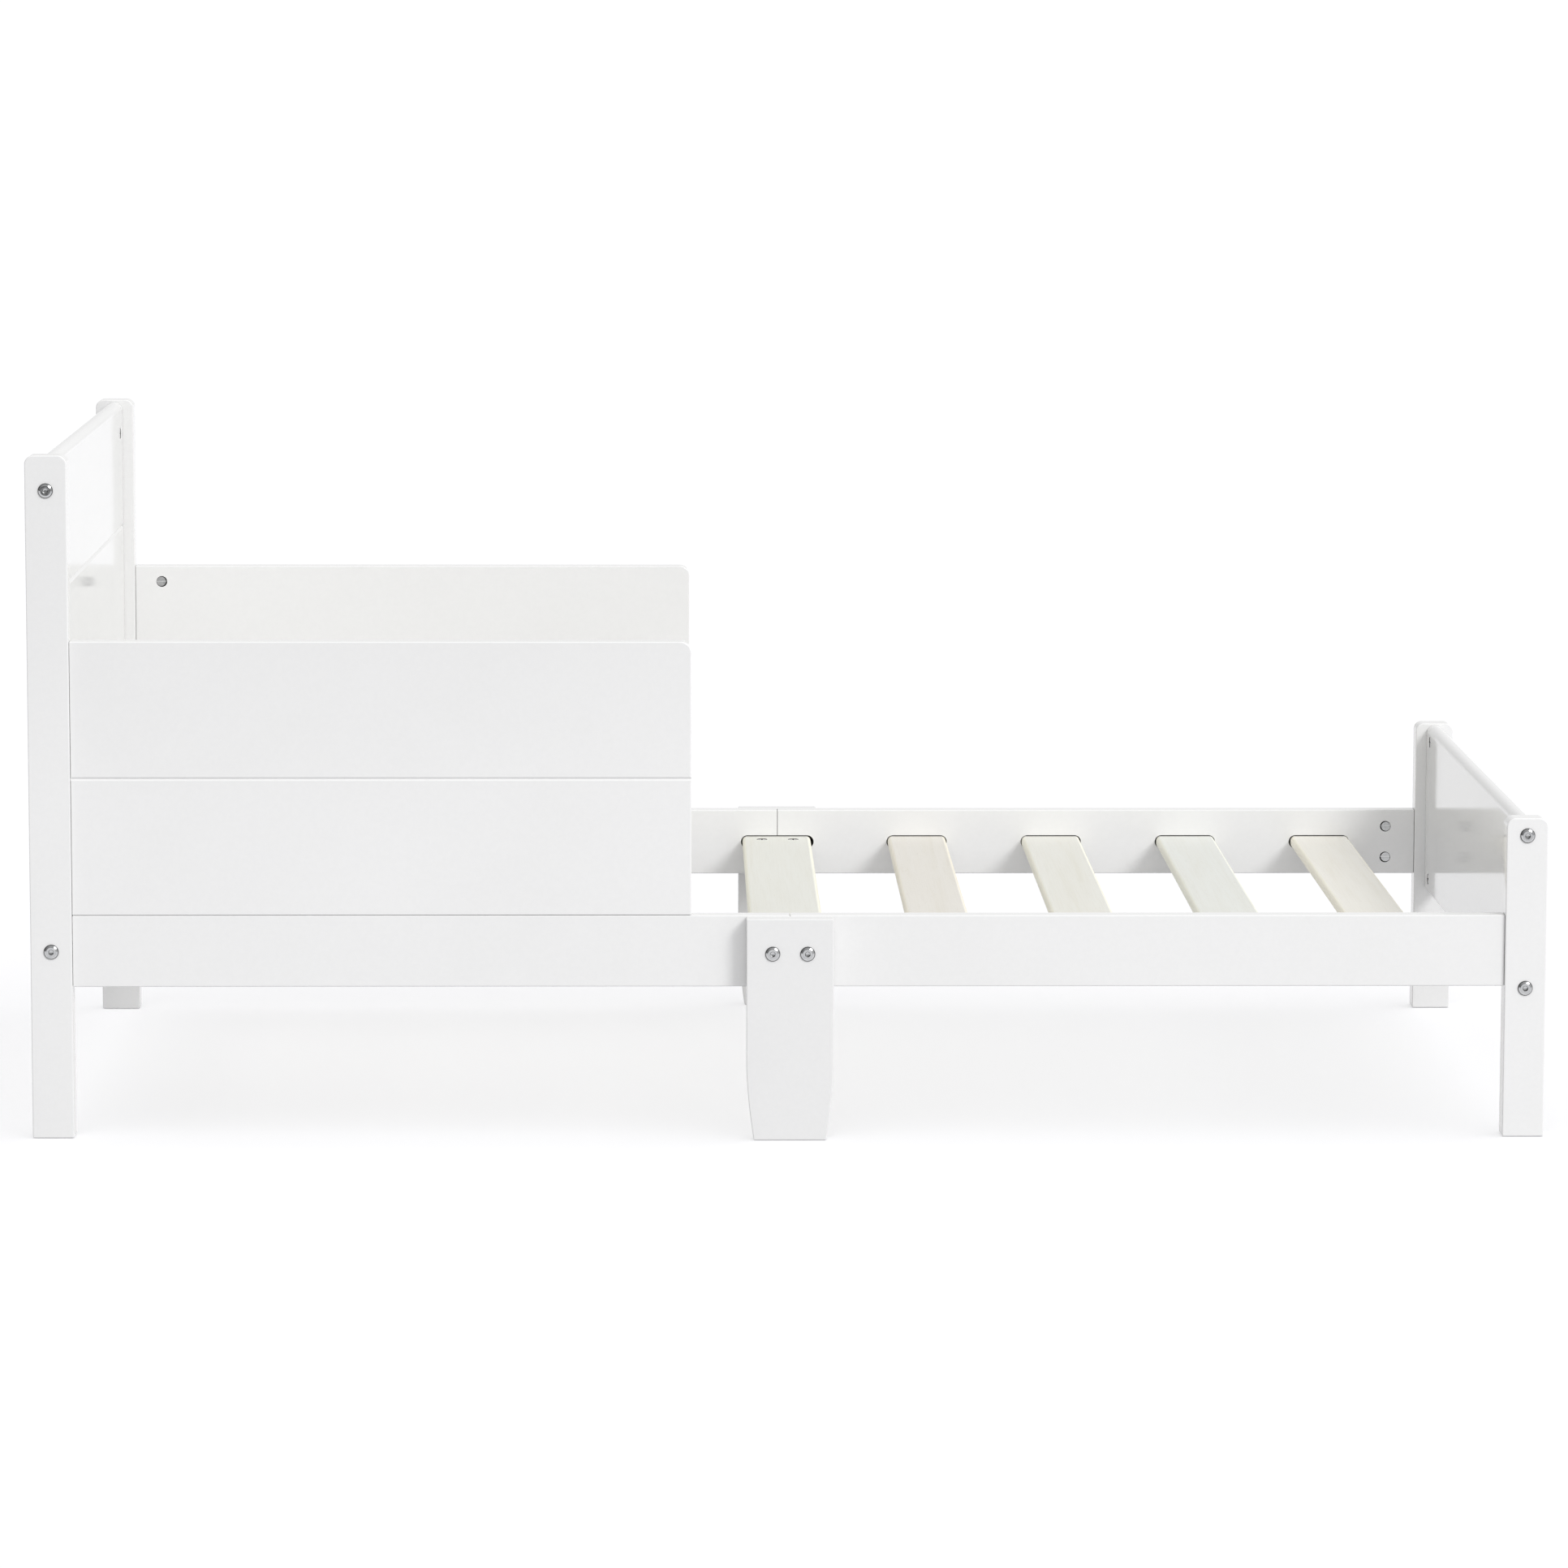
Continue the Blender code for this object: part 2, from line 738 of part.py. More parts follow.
for label, side in SIDES:
    turn = (0, 0, 0 if side < 0 else HALF_TURN)
    for end, x_mid, inward, heights in (
        ("head", X_HEAD_POST, 1, HEAD_BOLTS_Z),
        ("foot", X_FOOT_POST, -1, FOOT_BOLTS_Z),
    ):
        for level, z in zip(("upper", "lower"), heights):
            place(
                f"{end}board_bolt_{label}_{level}",
                panel_bolt,
                "zinc",
                (x_mid, side * (Y_POST + HEAD_LIFT), z),
                turn,
            )
            place(
                f"{end}board_nut_{label}_{level}",
                panel_nut,
                "zinc",
                (x_mid, side * (Y_PANEL - PANEL_NUT_IN + NUT_PULL), z),
                (0, 0, 0 if inward > 0 else HALF_TURN),
            )
    for which, dx in (("a", -BOLT_PITCH / 2), ("b", BOLT_PITCH / 2)):
        place(
            f"leg_bolt_{label}_{which}",
            leg_bolt,
            "zinc",
            (dx, side * (Y_LEG_OUT + HEAD_LIFT), RAIL_MID_Z),
            turn,
        )
        place(
            f"leg_nut_{label}_{which}",
            leg_nut,
            "zinc",
            (dx, side * (Y_RAIL_IN - LEG_NUT_IN + NUT_PULL), RAIL_MID_Z),
            (0, -math.pi / 2, 0),
        )
    # Along X: the head half as made for the near side, and turned for the others so
    # that each slotted face looks into the bed.
    for level, z in zip(("lower", "upper"), RAIL_BOLTS_Z):
        place(
            f"rail_bolt_{label}_head_{level}",
            rail_bolt,
            "zinc",
            (X_HEAD + HEAD_SEAT, side * Y_RAIL_MID, z),
            (0 if side < 0 else HALF_TURN, 0, 0),
        )
        place(
            f"rail_bolt_{label}_foot_{level}",
            rail_bolt,
            "zinc",
            (X_FOOT - HEAD_SEAT, side * Y_RAIL_MID, z),
            (HALF_TURN if side < 0 else 0, 0, HALF_TURN),
        )
    for level, z in zip(("upper", "lower"), GUARD_BOLTS_Z):
        place(
            f"guard_bolt_{label}_{level}",
            guard_bolt,
            "zinc",
            (X_HEAD + HEAD_SEAT, side * Y_RAIL_MID, z),
            (0 if side < 0 else HALF_TURN, 0, 0),
        )

# ---------------------------------------------------------- smooth shading
for obj in bpy.data.objects:
    if obj.type == "MESH" and not obj.hide_render:
        obj.data.shade_smooth()
        obj.data.set_sharp_from_angle(angle=math.radians(35))
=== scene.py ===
import math

import bmesh
import bpy
from mathutils import Matrix, Vector


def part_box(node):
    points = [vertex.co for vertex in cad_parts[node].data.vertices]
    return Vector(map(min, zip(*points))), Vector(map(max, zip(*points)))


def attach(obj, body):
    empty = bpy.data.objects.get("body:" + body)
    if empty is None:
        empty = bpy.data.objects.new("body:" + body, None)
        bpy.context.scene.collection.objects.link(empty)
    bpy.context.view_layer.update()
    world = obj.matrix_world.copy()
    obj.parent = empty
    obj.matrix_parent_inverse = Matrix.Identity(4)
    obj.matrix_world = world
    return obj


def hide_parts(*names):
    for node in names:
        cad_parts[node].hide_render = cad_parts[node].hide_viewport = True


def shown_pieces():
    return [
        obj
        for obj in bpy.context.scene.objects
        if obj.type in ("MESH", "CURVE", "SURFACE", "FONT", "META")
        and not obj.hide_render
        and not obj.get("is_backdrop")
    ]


# White toddler bed: painted boards, bare wooden slats, zinc-plated bolts and barrel
# nuts. Every board stands where its CAD node's box is; metres, +Z up.
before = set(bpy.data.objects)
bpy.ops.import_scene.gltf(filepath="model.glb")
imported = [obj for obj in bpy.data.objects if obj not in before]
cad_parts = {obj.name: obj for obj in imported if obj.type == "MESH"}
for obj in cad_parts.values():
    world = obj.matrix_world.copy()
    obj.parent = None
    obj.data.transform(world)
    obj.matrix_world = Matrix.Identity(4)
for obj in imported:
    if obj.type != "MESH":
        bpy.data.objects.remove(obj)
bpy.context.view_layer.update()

scene = bpy.context.scene
collection = scene.collection
SIDES = (("near", -1), ("far", 1))

# ------------------------------------------------------------ sizes of details
POST_CORNER_R = 0.008
POST_EDGE_R = 0.0012
GUARD_CORNER_R = 0.010
GUARD_EDGE_R = 0.0011
LEG_EDGE_R = 0.0011
RAIL_EDGE_R = 0.0012
END_EDGE_R = 0.0009
SLAT_EDGE_R = 0.0052
SLAT_ARRIS = 18  # degrees left between the rounding and the flat face
GROOVE_W = 0.0034
GROOVE_D = 0.0016
HEAD_GROOVES = (0.500, 0.374, 0.248)  # above the floor
HEAD_GROOVE_W = 0.0042
SLOT_H = 0.0135
SLOT_DEPTH = 0.010
SLOT_PLAY = 0.0026
CENTRE_SLOT_PLAY = 0.0048
SLAT_OFF_CENTRE = {  # each slat lies a little off the middle of its slots
    "slat_centre": -0.0008,
    "slat_foot_2": -0.0003,
    "slat_foot_3": 0.0002,
    "slat_foot_4": 0.0005,
    "slat_head_1": 0.0002,
    "slat_head_3": -0.0004,
    "slat_head_4": 0.0003,
}
BOLT_R = 0.0030
BORE_R = 0.0034
HEAD_R = 0.0068
HEAD_FACE_R = 0.0047
HEAD_H = 0.0021
RIM_H = 0.0007
SOCKET = 0.0040  # across flats
SOCKET_DEPTH = 0.0016
COUNTERBORE_R = 0.0074
COUNTERBORE_DEPTH = 0.0025
NUT_R = 0.0048
NUT_HOLE_R = 0.0055
NUT_PULL = 0.0006  # each nut stands off the middle of its hole, towards its bolt's head
NUT_BELOW = 0.0004


# ------------------------------------------------------------------ materials
class Tree:
    """Short calls for a material's nodes."""

    def __init__(self, material):
        material.use_nodes = True
        self.tree = material.node_tree
        self.shader = self.tree.nodes["Principled BSDF"]

    def node(self, kind, **values):
        made = self.tree.nodes.new(kind)
        for key, value in values.items():
            setattr(made, key, value)
        return made

    def link(self, a, b):
        self.tree.links.new(a, b)

    def coords(self, scale, offset=(0.0, 0.0, 0.0)):
        texture = self.node("ShaderNodeTexCoord")
        mapping = self.node("ShaderNodeMapping")
        mapping.inputs["Scale"].default_value = scale
        mapping.inputs["Location"].default_value = offset
        self.link(texture.outputs["Object"], mapping.inputs["Vector"])
        return mapping.outputs["Vector"]

    def noise(self, vector, scale, detail=2.0, roughness=0.5, distortion=0.0):
        made = self.node("ShaderNodeTexNoise")
        made.inputs["Scale"].default_value = scale
        made.inputs["Detail"].default_value = detail
        made.inputs["Roughness"].default_value = roughness
        made.inputs["Distortion"].default_value = distortion
        self.link(vector, made.inputs["Vector"])
        return made.outputs["Fac"]

    def ramp(self, factor, stops, smooth=True):
        made = self.node("ShaderNodeValToRGB")
        made.color_ramp.interpolation = "EASE" if smooth else "LINEAR"
        elements = made.color_ramp.elements
        elements[0].position, elements[0].color = stops[0][0], (*stops[0][1], 1.0)
        elements[1].position, elements[1].color = stops[-1][0], (*stops[-1][1], 1.0)
        for position, colour in stops[1:-1]:
            elements.new(position).color = (*colour, 1.0)
        self.link(factor, made.inputs["Fac"])
        return made.outputs["Color"]

    def fit(self, value, low, high, from_low=0.0, from_high=1.0):
        made = self.node("ShaderNodeMapRange")
        made.inputs["From Min"].default_value = from_low
        made.inputs["From Max"].default_value = from_high
        made.inputs["To Min"].default_value = low
        made.inputs["To Max"].default_value = high
        self.link(value, made.inputs["Value"])
        return made.outputs["Result"]

    def mix(self, factor, a, b, kind="MIX"):
        """Colours a and b; each is an output or three numbers, and so is the factor
        an output or a number."""
        made = self.node("ShaderNodeMix", data_type="RGBA", blend_type=kind)
        ins = [made.inputs[0], made.inputs[6], made.inputs[7]]
        for socket, value in zip(ins, (factor, a, b)):
            if isinstance(value, (int, float)):
                socket.default_value = value
            elif isinstance(value, tuple):
                socket.default_value = (*value, 1.0)
            else:
                self.link(value, socket)
        return made.outputs[2]

    def bump(self, heights):
        """Heights are (output, distance in metres, strength), stacked."""
        normal = None
        for height, distance, strength in heights:
            made = self.node("ShaderNodeBump")
            made.inputs["Strength"].default_value = strength
            made.inputs["Distance"].default_value = distance
            self.link(height, made.inputs["Height"])
            if normal is not None:
                self.link(normal, made.inputs["Normal"])
            normal = made.outputs["Normal"]
        self.link(normal, self.shader.inputs["Normal"])


def paint(name, tone, seed, along=(1.0, 1.0, 1.0)):
    """Semi-gloss white lacquer on a smooth board: faint cloudy tone, a fine
    orange-peel surface and a long, barely visible unevenness along the board."""
    material = bpy.data.materials.new(name)
    t = Tree(material)
    shift = (seed * 1.37, seed * 0.73, seed * 2.11)
    even = t.coords((1.0, 1.0, 1.0), shift)
    stretched = t.coords(along, shift)
    cloud = t.noise(even, 5.0, 3.0, 0.55)
    speck = t.noise(even, 240.0, 2.0, 0.6)
    r, g, b = tone
    base = t.ramp(
        cloud,
        (
            (0.30, (r * 0.988, g * 0.988, b * 0.987)),
            (0.52, (r, g, b)),
            (0.75, (r * 1.008, g * 1.008, b * 1.008)),
        ),
    )
    fine = t.ramp(speck, ((0.35, (0.990, 0.990, 0.990)), (0.65, (1.0, 1.0, 1.0))))
    t.link(t.mix(1.0, base, fine, "MULTIPLY"), t.shader.inputs["Base Color"])
    wipe = t.noise(stretched, 9.0, 4.0, 0.6)
    t.link(t.fit(wipe, 0.07, 0.12, 0.3, 0.7), t.shader.inputs["Roughness"])
    t.shader.inputs["IOR"].default_value = 1.5
    peel = t.noise(even, 420.0, 2.0, 0.5)
    wave = t.noise(stretched, 28.0, 2.0, 0.5)
    t.bump(((wave, 0.00002, 0.25), (peel, 0.00001, 0.25)))
    material.diffuse_color = (*tone, 1.0)
    return material


def wood(name, tone, seed, contrast=1.0):
    """Bare poplar, planed: grain along Y with soft growth bands, fine fibre
    streaks and short dark pores."""
    material = bpy.data.materials.new(name)
    t = Tree(material)
    shift = (seed * 0.618, seed * 1.37, seed * 0.29)
    bands = t.coords((1.0, 0.045, 1.0), shift)
    fibre = t.coords((1.0, 0.018, 1.0), shift)
    pore = t.coords((1.0, 0.05, 1.0), shift)
    r, g, b = tone
    band = t.noise(bands, 46.0, 4.0, 0.55, 0.6)
    k = 0.035 * contrast
    base = t.ramp(
        band,
        (
            (0.28, (r * (1 - 1.2 * k), g * (1 - 1.5 * k), b * (1 - 2.3 * k))),
            (0.46, (r * (1 - 0.3 * k), g * (1 - 0.4 * k), b * (1 - 0.6 * k))),
            (0.60, (r, g, b)),
            (0.74, (r * (1 + 0.5 * k), g * (1 + 0.5 * k), b * (1 + 0.6 * k))),
        ),
    )
    streak = t.noise(fibre, 620.0, 3.0, 0.6)
    light = t.ramp(
        streak,
        (
            (0.34, (1 - 0.9 * k, 1 - 1.0 * k, 1 - 1.3 * k)),
            (0.56, (1.0, 1.0, 1.0)),
        ),
    )
    colour = t.mix(1.0, base, light, "MULTIPLY")
    pores = t.noise(pore, 1500.0, 1.0, 0.5)
    dark = t.ramp(
        pores,
        ((0.24, (1 - 2.2 * k, 1 - 2.6 * k, 1 - 3.2 * k)), (0.33, (1.0, 1.0, 1.0))),
    )
    body = t.mix(1.0, colour, dark, "MULTIPLY")
    # Painted light: the rounded long edges are lightened by how far their normal leans sideways,
    # first in a painted highlight line where they begin, then with a warmer tint.
    facing = t.node("ShaderNodeSeparateXYZ")
    t.link(t.node("ShaderNodeNewGeometry").outputs["Normal"], facing.inputs[0])
    lean = t.node("ShaderNodeMath", operation="ABSOLUTE")
    t.link(facing.outputs["X"], lean.inputs[0])
    edge_light = t.ramp(
        lean.outputs[0],
        (
            (0.22, (1.0, 1.0, 1.0)),
            (0.32, (1.08, 1.08, 1.07)),
            (0.42, (1.14, 1.14, 1.12)),
            (0.58, (1.22, 1.20, 1.12)),
        ),
        smooth=False,
    )
    t.link(t.mix(1.0, body, edge_light, "MULTIPLY"), t.shader.inputs["Base Color"])
    t.link(t.fit(streak, 0.50, 0.66, 0.3, 0.7), t.shader.inputs["Roughness"])
    t.shader.inputs["IOR"].default_value = 1.45
    t.bump(((band, 0.00008, 0.4), (streak, 0.00004, 0.5)))
    material.diffuse_color = (*tone, 1.0)
    return material


def zinc(name, tone, seed, roughness=0.27):
    """Zinc-plated steel: cloudy plating over a finely tumbled surface."""
    material = bpy.data.materials.new(name)
    t = Tree(material)
    shift = (seed * 0.31, seed * 0.77, seed * 0.53)
    even = t.coords((1.0, 1.0, 1.0), shift)
    cloud = t.noise(even, 320.0, 3.0, 0.6)
    r, g, b = tone
    base = t.ramp(
        cloud,
        (
            (0.30, (r * 0.86, g * 0.87, b * 0.88)),
            (0.55, (r, g, b)),
            (0.78, (r * 1.08, g * 1.08, b * 1.07)),
        ),
    )
    # The steep rim and the socket are painted darker: painted shade standing in for the dark gap
    # round the head and the shadow inside the socket.
    shade_level = t.node("ShaderNodeAttribute", attribute_name="painted_shade")
    t.link(
        t.mix(shade_level.outputs["Fac"], base, (r * 0.20, g * 0.20, b * 0.20)),
        t.shader.inputs["Base Color"],
    )
    t.shader.inputs["Metallic"].default_value = 1.0
    grain = t.noise(even, 2600.0, 2.0, 0.5)
    t.link(
        t.fit(cloud, roughness - 0.05, roughness + 0.07, 0.3, 0.7),
        t.shader.inputs["Roughness"],
    )
    t.bump(((grain, 0.00001, 0.25),))
    material.diffuse_color = (*tone, 1.0)
    return material


def raw_wood_and_shade(name):
    """The unpainted wood inside slots and bores, coloured near black: painted shade for the dark of
    the narrow gaps, over a rough fibre.
    """
    material = bpy.data.materials.new(name)
    t = Tree(material)
    even = t.coords((1.0, 1.0, 1.0), (0.0, 0.0, 0.0))
    fibre = t.noise(even, 900.0, 3.0, 0.6)
    base = t.ramp(
        fibre,
        ((0.30, (0.022, 0.019, 0.015)), (0.55, (0.042, 0.036, 0.030)), (0.78, (0.065, 0.057, 0.048))),
    )
    t.link(base, t.shader.inputs["Base Color"])
    t.link(t.fit(fibre, 0.75, 0.95, 0.3, 0.7), t.shader.inputs["Roughness"])
    t.bump(((fibre, 0.00005, 0.5),))
    material.diffuse_color = (0.042, 0.036, 0.030, 1.0)
    return material


# Near-black painted shade on the cut faces of slots and bores, over unpainted wood.
BARE_AND_SHADE = raw_wood_and_shade("raw_wood_inside_painted_shade")
WHITE = (0.874, 0.8735, 0.870)
PAINTS = {
    "X": paint("white_paint_rails", WHITE, 1, (0.12, 1.0, 1.0)),
    "Y": paint("white_paint_panels", WHITE, 2, (1.0, 0.12, 1.0)),
    "Z": paint("white_paint_posts", WHITE, 3, (1.0, 1.0, 0.12)),
    "LEG": paint("white_paint_legs", tuple(0.962 * c for c in WHITE), 4, (1.0, 1.0, 0.12)),
}
SLAT_TONES = {
    "slat_centre": (0.797, 0.799, 0.747),
    "slat_foot_1": (0.797, 0.774, 0.721),
    "slat_foot_2": (0.815, 0.811, 0.756),
    "slat_foot_3": (0.809, 0.820, 0.780),
    # slat_foot_4 is lighter than its wood: painted light making up for the footboard's shade on it.
    "slat_foot_4": (0.886, 0.869, 0.808),
    "slat_head_1": (0.828, 0.809, 0.748),
    "slat_head_2": (0.821, 0.807, 0.755),
    "slat_head_3": (0.834, 0.815, 0.759),
    "slat_head_4": (0.819, 0.802, 0.740),
}
ZINC = zinc("zinc_bolts", (0.57, 0.575, 0.58), 1, 0.17)
ZINC_DARK = zinc("zinc_barrels", (0.62, 0.625, 0.63), 2, 0.30)
# Lighter zinc on the faces of each barrel's slot and cross hole: a painted highlight for the light
# line of the slot.
ZINC_SLOT_LIGHT = zinc("zinc_barrel_slots_painted_light", (0.90, 0.905, 0.91), 3, 0.42)


# ------------------------------------------------------------------- geometry
def arc(cx, cz, radius, start, end, steps):
    return [
        (
            cx + radius * math.cos(math.radians(start + (end - start) * i / steps)),
            cz + radius * math.sin(math.radians(start + (end - start) * i / steps)),
        )
        for i in range(steps + 1)
    ]


def circle(cx, cz, radius, sides):
    return arc(cx, cz, radius, 0, 360, sides)[:-1]


def rounded_outline(a0, a1, b0, b1, radius, steps):
    return (
        arc(a1 - radius, b0 + radius, radius, -90, 0, steps)
        + arc(a1 - radius, b1 - radius, radius, 0, 90, steps)
        + arc(a0 + radius, b1 - radius, radius, 90, 180, steps)
        + arc(a0 + radius, b0 + radius, radius, 180, 270, steps)
    )


def prisms(parts):
    """Closed prisms in one mesh. Each part is (axis, outline, low, high): the
    outline is (X, Z) for axis Y, (Y, Z) for axis X and (X, Y) for axis Z."""
    bm = bmesh.new()
    for axis, outline, low, high in parts:
        low, high = min(low, high), max(low, high)

        def point(a, b, c, axis=axis):
            return {"X": (c, a, b), "Y": (a, c, b), "Z": (a, b, c)}[axis]

        bottom = [bm.verts.new(point(a, b, low)) for a, b in outline]
        top = [bm.verts.new(point(a, b, high)) for a, b in outline]
        bm.faces.new(bottom)
        bm.faces.new(list(reversed(top)))
        for i in range(len(outline)):
            j = (i + 1) % len(outline)
            bm.faces.new((bottom[j], bottom[i], top[i], top[j]))
    bmesh.ops.recalc_face_normals(bm, faces=bm.faces)
    mesh = bpy.data.meshes.new("prism")
    bm.to_mesh(mesh)
    bm.free()
    return mesh


def rings(loops, name="turned"):
    """A closed body from loops of equally many points, capped at both ends."""
    bm = bmesh.new()
    made = [[bm.verts.new(point) for point in loop] for loop in loops]
    bm.faces.new(made[0])
    bm.faces.new(list(reversed(made[-1])))
    for a, b in zip(made, made[1:]):
        for i in range(len(a)):
            j = (i + 1) % len(a)
            bm.faces.new((a[i], a[j], b[j], b[i]))
    bmesh.ops.recalc_face_normals(bm, faces=bm.faces)
    mesh = bpy.data.meshes.new(name)
    bm.to_mesh(mesh)
    bm.free()
    return mesh


def loose(name, mesh):
    obj = bpy.data.objects.new(name, mesh)
    collection.objects.link(obj)
    return obj


def shaped(mesh, bevel=None, bevel_steps=4, cuts=(), fine=None, painted=0):
    """The mesh with its sharp edges rounded, the groups of prisms in cuts taken out
    one after another, and then the edges left by the cuts eased by fine. The faces
    of the cuts take the second material, but not those of the first painted cuts."""
    mesh.materials.append(PAINTS["X"])
    mesh.materials.append(BARE_AND_SHADE)
    obj = loose("shape", mesh)
    helpers = []
    if bevel:
        soft = obj.modifiers.new("edges", "BEVEL")
        soft.width = bevel
        soft.segments = bevel_steps
        soft.limit_method = "ANGLE"
        soft.angle_limit = math.radians(40)
        soft.use_clamp_overlap = True
    for number, parts in enumerate(cuts):
        cutter = loose("cutter", prisms(parts))
        cutter.data.materials.append(PAINTS["X"])
        cutter.data.materials.append(BARE_AND_SHADE)
        for polygon in cutter.data.polygons:
            polygon.material_index = 0 if number < painted else 1
        cutter.hide_render = True
        boolean = obj.modifiers.new("cut", "BOOLEAN")
        boolean.operation = "DIFFERENCE"
        boolean.solver = "EXACT"
        boolean.object = cutter
        helpers.append(cutter)
    if fine:
        ease = obj.modifiers.new("ease", "BEVEL")
        ease.width = fine
        ease.segments = 2
        ease.limit_method = "ANGLE"
        ease.angle_limit = math.radians(50)
        ease.use_clamp_overlap = True
    graph = bpy.context.evaluated_depsgraph_get()
    graph.update()
    made = bpy.data.meshes.new_from_object(obj.evaluated_get(graph))
    for extra in (obj, *helpers):
        data = extra.data
        bpy.data.objects.remove(extra, do_unlink=True)
        bpy.data.meshes.remove(data)
    return made


def finished(name, mesh, material, slot, *nodes, sharp=34, inner=None):
    """A shown piece in its final place, standing for these CAD nodes. The faces of
    its cuts take the inner material."""
    obj = bpy.data.objects.new(name, mesh)
    mesh.name = name
    collection.objects.link(obj)
    inside = [polygon.material_index for polygon in mesh.polygons]
    mesh.materials.clear()
    mesh.materials.append(material)
    if any(inside):
        mesh.materials.append(inner or BARE_AND_SHADE)
        mesh.polygons.foreach_set("material_index", inside)
    else:
        mesh.polygons.foreach_set("material_index", [0] * len(inside))
    mesh.shade_smooth()
    mesh.set_sharp_from_angle(angle=math.radians(sharp))
    weighted = obj.modifiers.new("flat_faces", "WEIGHTED_NORMAL")
    weighted.keep_sharp = True
    weighted.mode = "FACE_AREA_WITH_ANGLE"
    weighted.weight = 60
    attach(obj, "root")
    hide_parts(*nodes)
    return obj


# --------------------------------------------------- places taken from the CAD
def middle(node, axis):
    low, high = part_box(node)
    return (low[axis] + high[axis]) / 2


def bolt_axis(node, a, b):
    return middle(node, a), middle(node, b)


X, Y, Z = 0, 1, 2
post_low, post_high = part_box("head_post_near")
foot_low, foot_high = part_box("foot_post_near")
rail_low, rail_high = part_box("side_rail_near_foot")
RAIL_MID_Z = (rail_low[Z] + rail_high[Z]) / 2
LEG_BOLTS_X = [middle(f"leg_bolt_near_{w}", X) for w in "ab"]
RAIL_BOLTS_Z = [middle(f"rail_bolt_near_foot_{w}", Z) for w in ("lower", "upper")]
GUARD_BOLTS_Z = [middle(f"guard_bolt_near_{w}", Z) for w in ("upper", "lower")]
BOLTS_Z = {
    end: [middle(f"{end}board_bolt_near_{w}", Z) for w in ("upper", "lower")]
    for end in ("head", "foot")
}


def rail_nut_x(end):
    """Where the two barrel nuts of a rail stand, from the fused bolt and nut: the
    shank runs one nut's margin past the nut."""
    low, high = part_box(f"rail_bolt_near_{end}_lower")
    return high[X] - 0.0065 if end == "head" else low[X] + 0.0065


def guard_nut_x():
    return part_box("guard_bolt_near_upper")[1][X] - 0.0065


def bore_y(x, z, y0, y1):
    return ("Y", circle(x, z, BORE_R, 24), y0, y1)


def bore_x(y, z, x0, x1):
    return ("X", circle(y, z, BORE_R, 24), x0, x1)


# ---------------------------------------------------------------------- posts
def post(node, side, panel_bolts, end_bolts):
    low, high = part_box(node)
    r = POST_CORNER_R
    outline = (
        [(low[X], low[Z]), (high[X], low[Z])]
        + arc(high[X] - r, high[Z] - r, r, 0, 90, 12)
        + arc(low[X] + r, high[Z] - r, r, 90, 180, 12)
    )
    x_mid = (low[X] + high[X]) / 2
    cuts = [
        [bore_y(x_mid, z, low[Y] - 0.01, high[Y] + 0.01) for z in panel_bolts],
        [
            bore_x(middle(f"side_rail_{side}_foot", Y), z, low[X] - 0.01, high[X] + 0.01)
            for z in end_bolts
        ],
    ]
    end = 1 if x_mid > 0 else -1
    x_face = high[X] if end > 0 else low[X]
    cuts.append(
        [
            (
                "X",
                circle(middle(f"side_rail_{side}_foot", Y), z, COUNTERBORE_R, 48),
                x_face + end * 0.01,
                x_face - end * COUNTERBORE_DEPTH,
            )
            for z in end_bolts
        ]
    )
    mesh = shaped(prisms([("Y", outline, low[Y], high[Y])]), POST_EDGE_R, 4, cuts)
    finished(f"{node}_board", mesh, PAINTS["Z"], "white_paint", node)


for side, sign in SIDES:
    post(f"head_post_{side}", side, BOLTS_Z["head"], RAIL_BOLTS_Z + GUARD_BOLTS_Z)
    post(f"foot_post_{side}", side, BOLTS_Z["foot"], RAIL_BOLTS_Z)


# --------------------------------------------------------------------- panels
def v_lip(x, z, out, up):
    """Points of one V-groove in a vertical face that looks along out, from below
    to above if up, with softened lips and root."""
    w, d = HEAD_GROOVE_W / 2, GROOVE_D
    shape = [
        (0.0, -w - 0.00035),
        (-0.00006, -w - 0.0001),
        (-0.0003, -w + 0.0002),
        (-d + 0.00022, -0.00022),
        (-d + 0.00008, 0.0),
        (-d + 0.00022, 0.00022),
        (-0.0003, w - 0.0002),
        (-0.00006, w + 0.0001),
        (0.0, w + 0.00035),
    ]
    points = [(x + out * depth, z + dz) for depth, dz in shape]
    return points if up else points[::-1]


def panel(node, inward, grooves, end):
    low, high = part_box(node)
    x_mid, half = (low[X] + high[X]) / 2, (high[X] - low[X]) / 2
    e = 0.0015
    outline = arc(high[X] - e, low[Z] + e, e, -90, 0, 5)
    for z in sorted(grooves):
        outline += v_lip(high[X], z, 1, True)
    outline += arc(x_mid, high[Z] - half, half, 0, 180, 40)
    for z in sorted(grooves, reverse=True):
        outline += v_lip(low[X], z, -1, False)
    outline += arc(low[X] + e, low[Z] + e, e, 180, 270, 5)
    bores, nuts = [], []
    for side, sign in SIDES:
        for level, z in zip(("upper", "lower"), BOLTS_Z[end]):
            y_nut = middle(f"{end}board_nut_{side}_{level}", Y) - sign * NUT_PULL
            bores.append(bore_y(x_mid, z, sign * 0.37, y_nut - sign * 0.0095))
            nuts.append(
                (
                    "X",
                    circle(y_nut, z, NUT_HOLE_R, 48),
                    x_mid + inward * (half + 0.01),
                    x_mid - inward * 0.0056,
                )
            )
    mesh = shaped(
        prisms([("Y", outline, low[Y], high[Y])]), None, 4, [bores, nuts], None
    )
    finished(f"{node}_board", mesh, PAINTS["Y"], "white_paint", node)


panel("headboard_panel", 1, HEAD_GROOVES, "head")
panel("footboard_panel", -1, (), "foot")


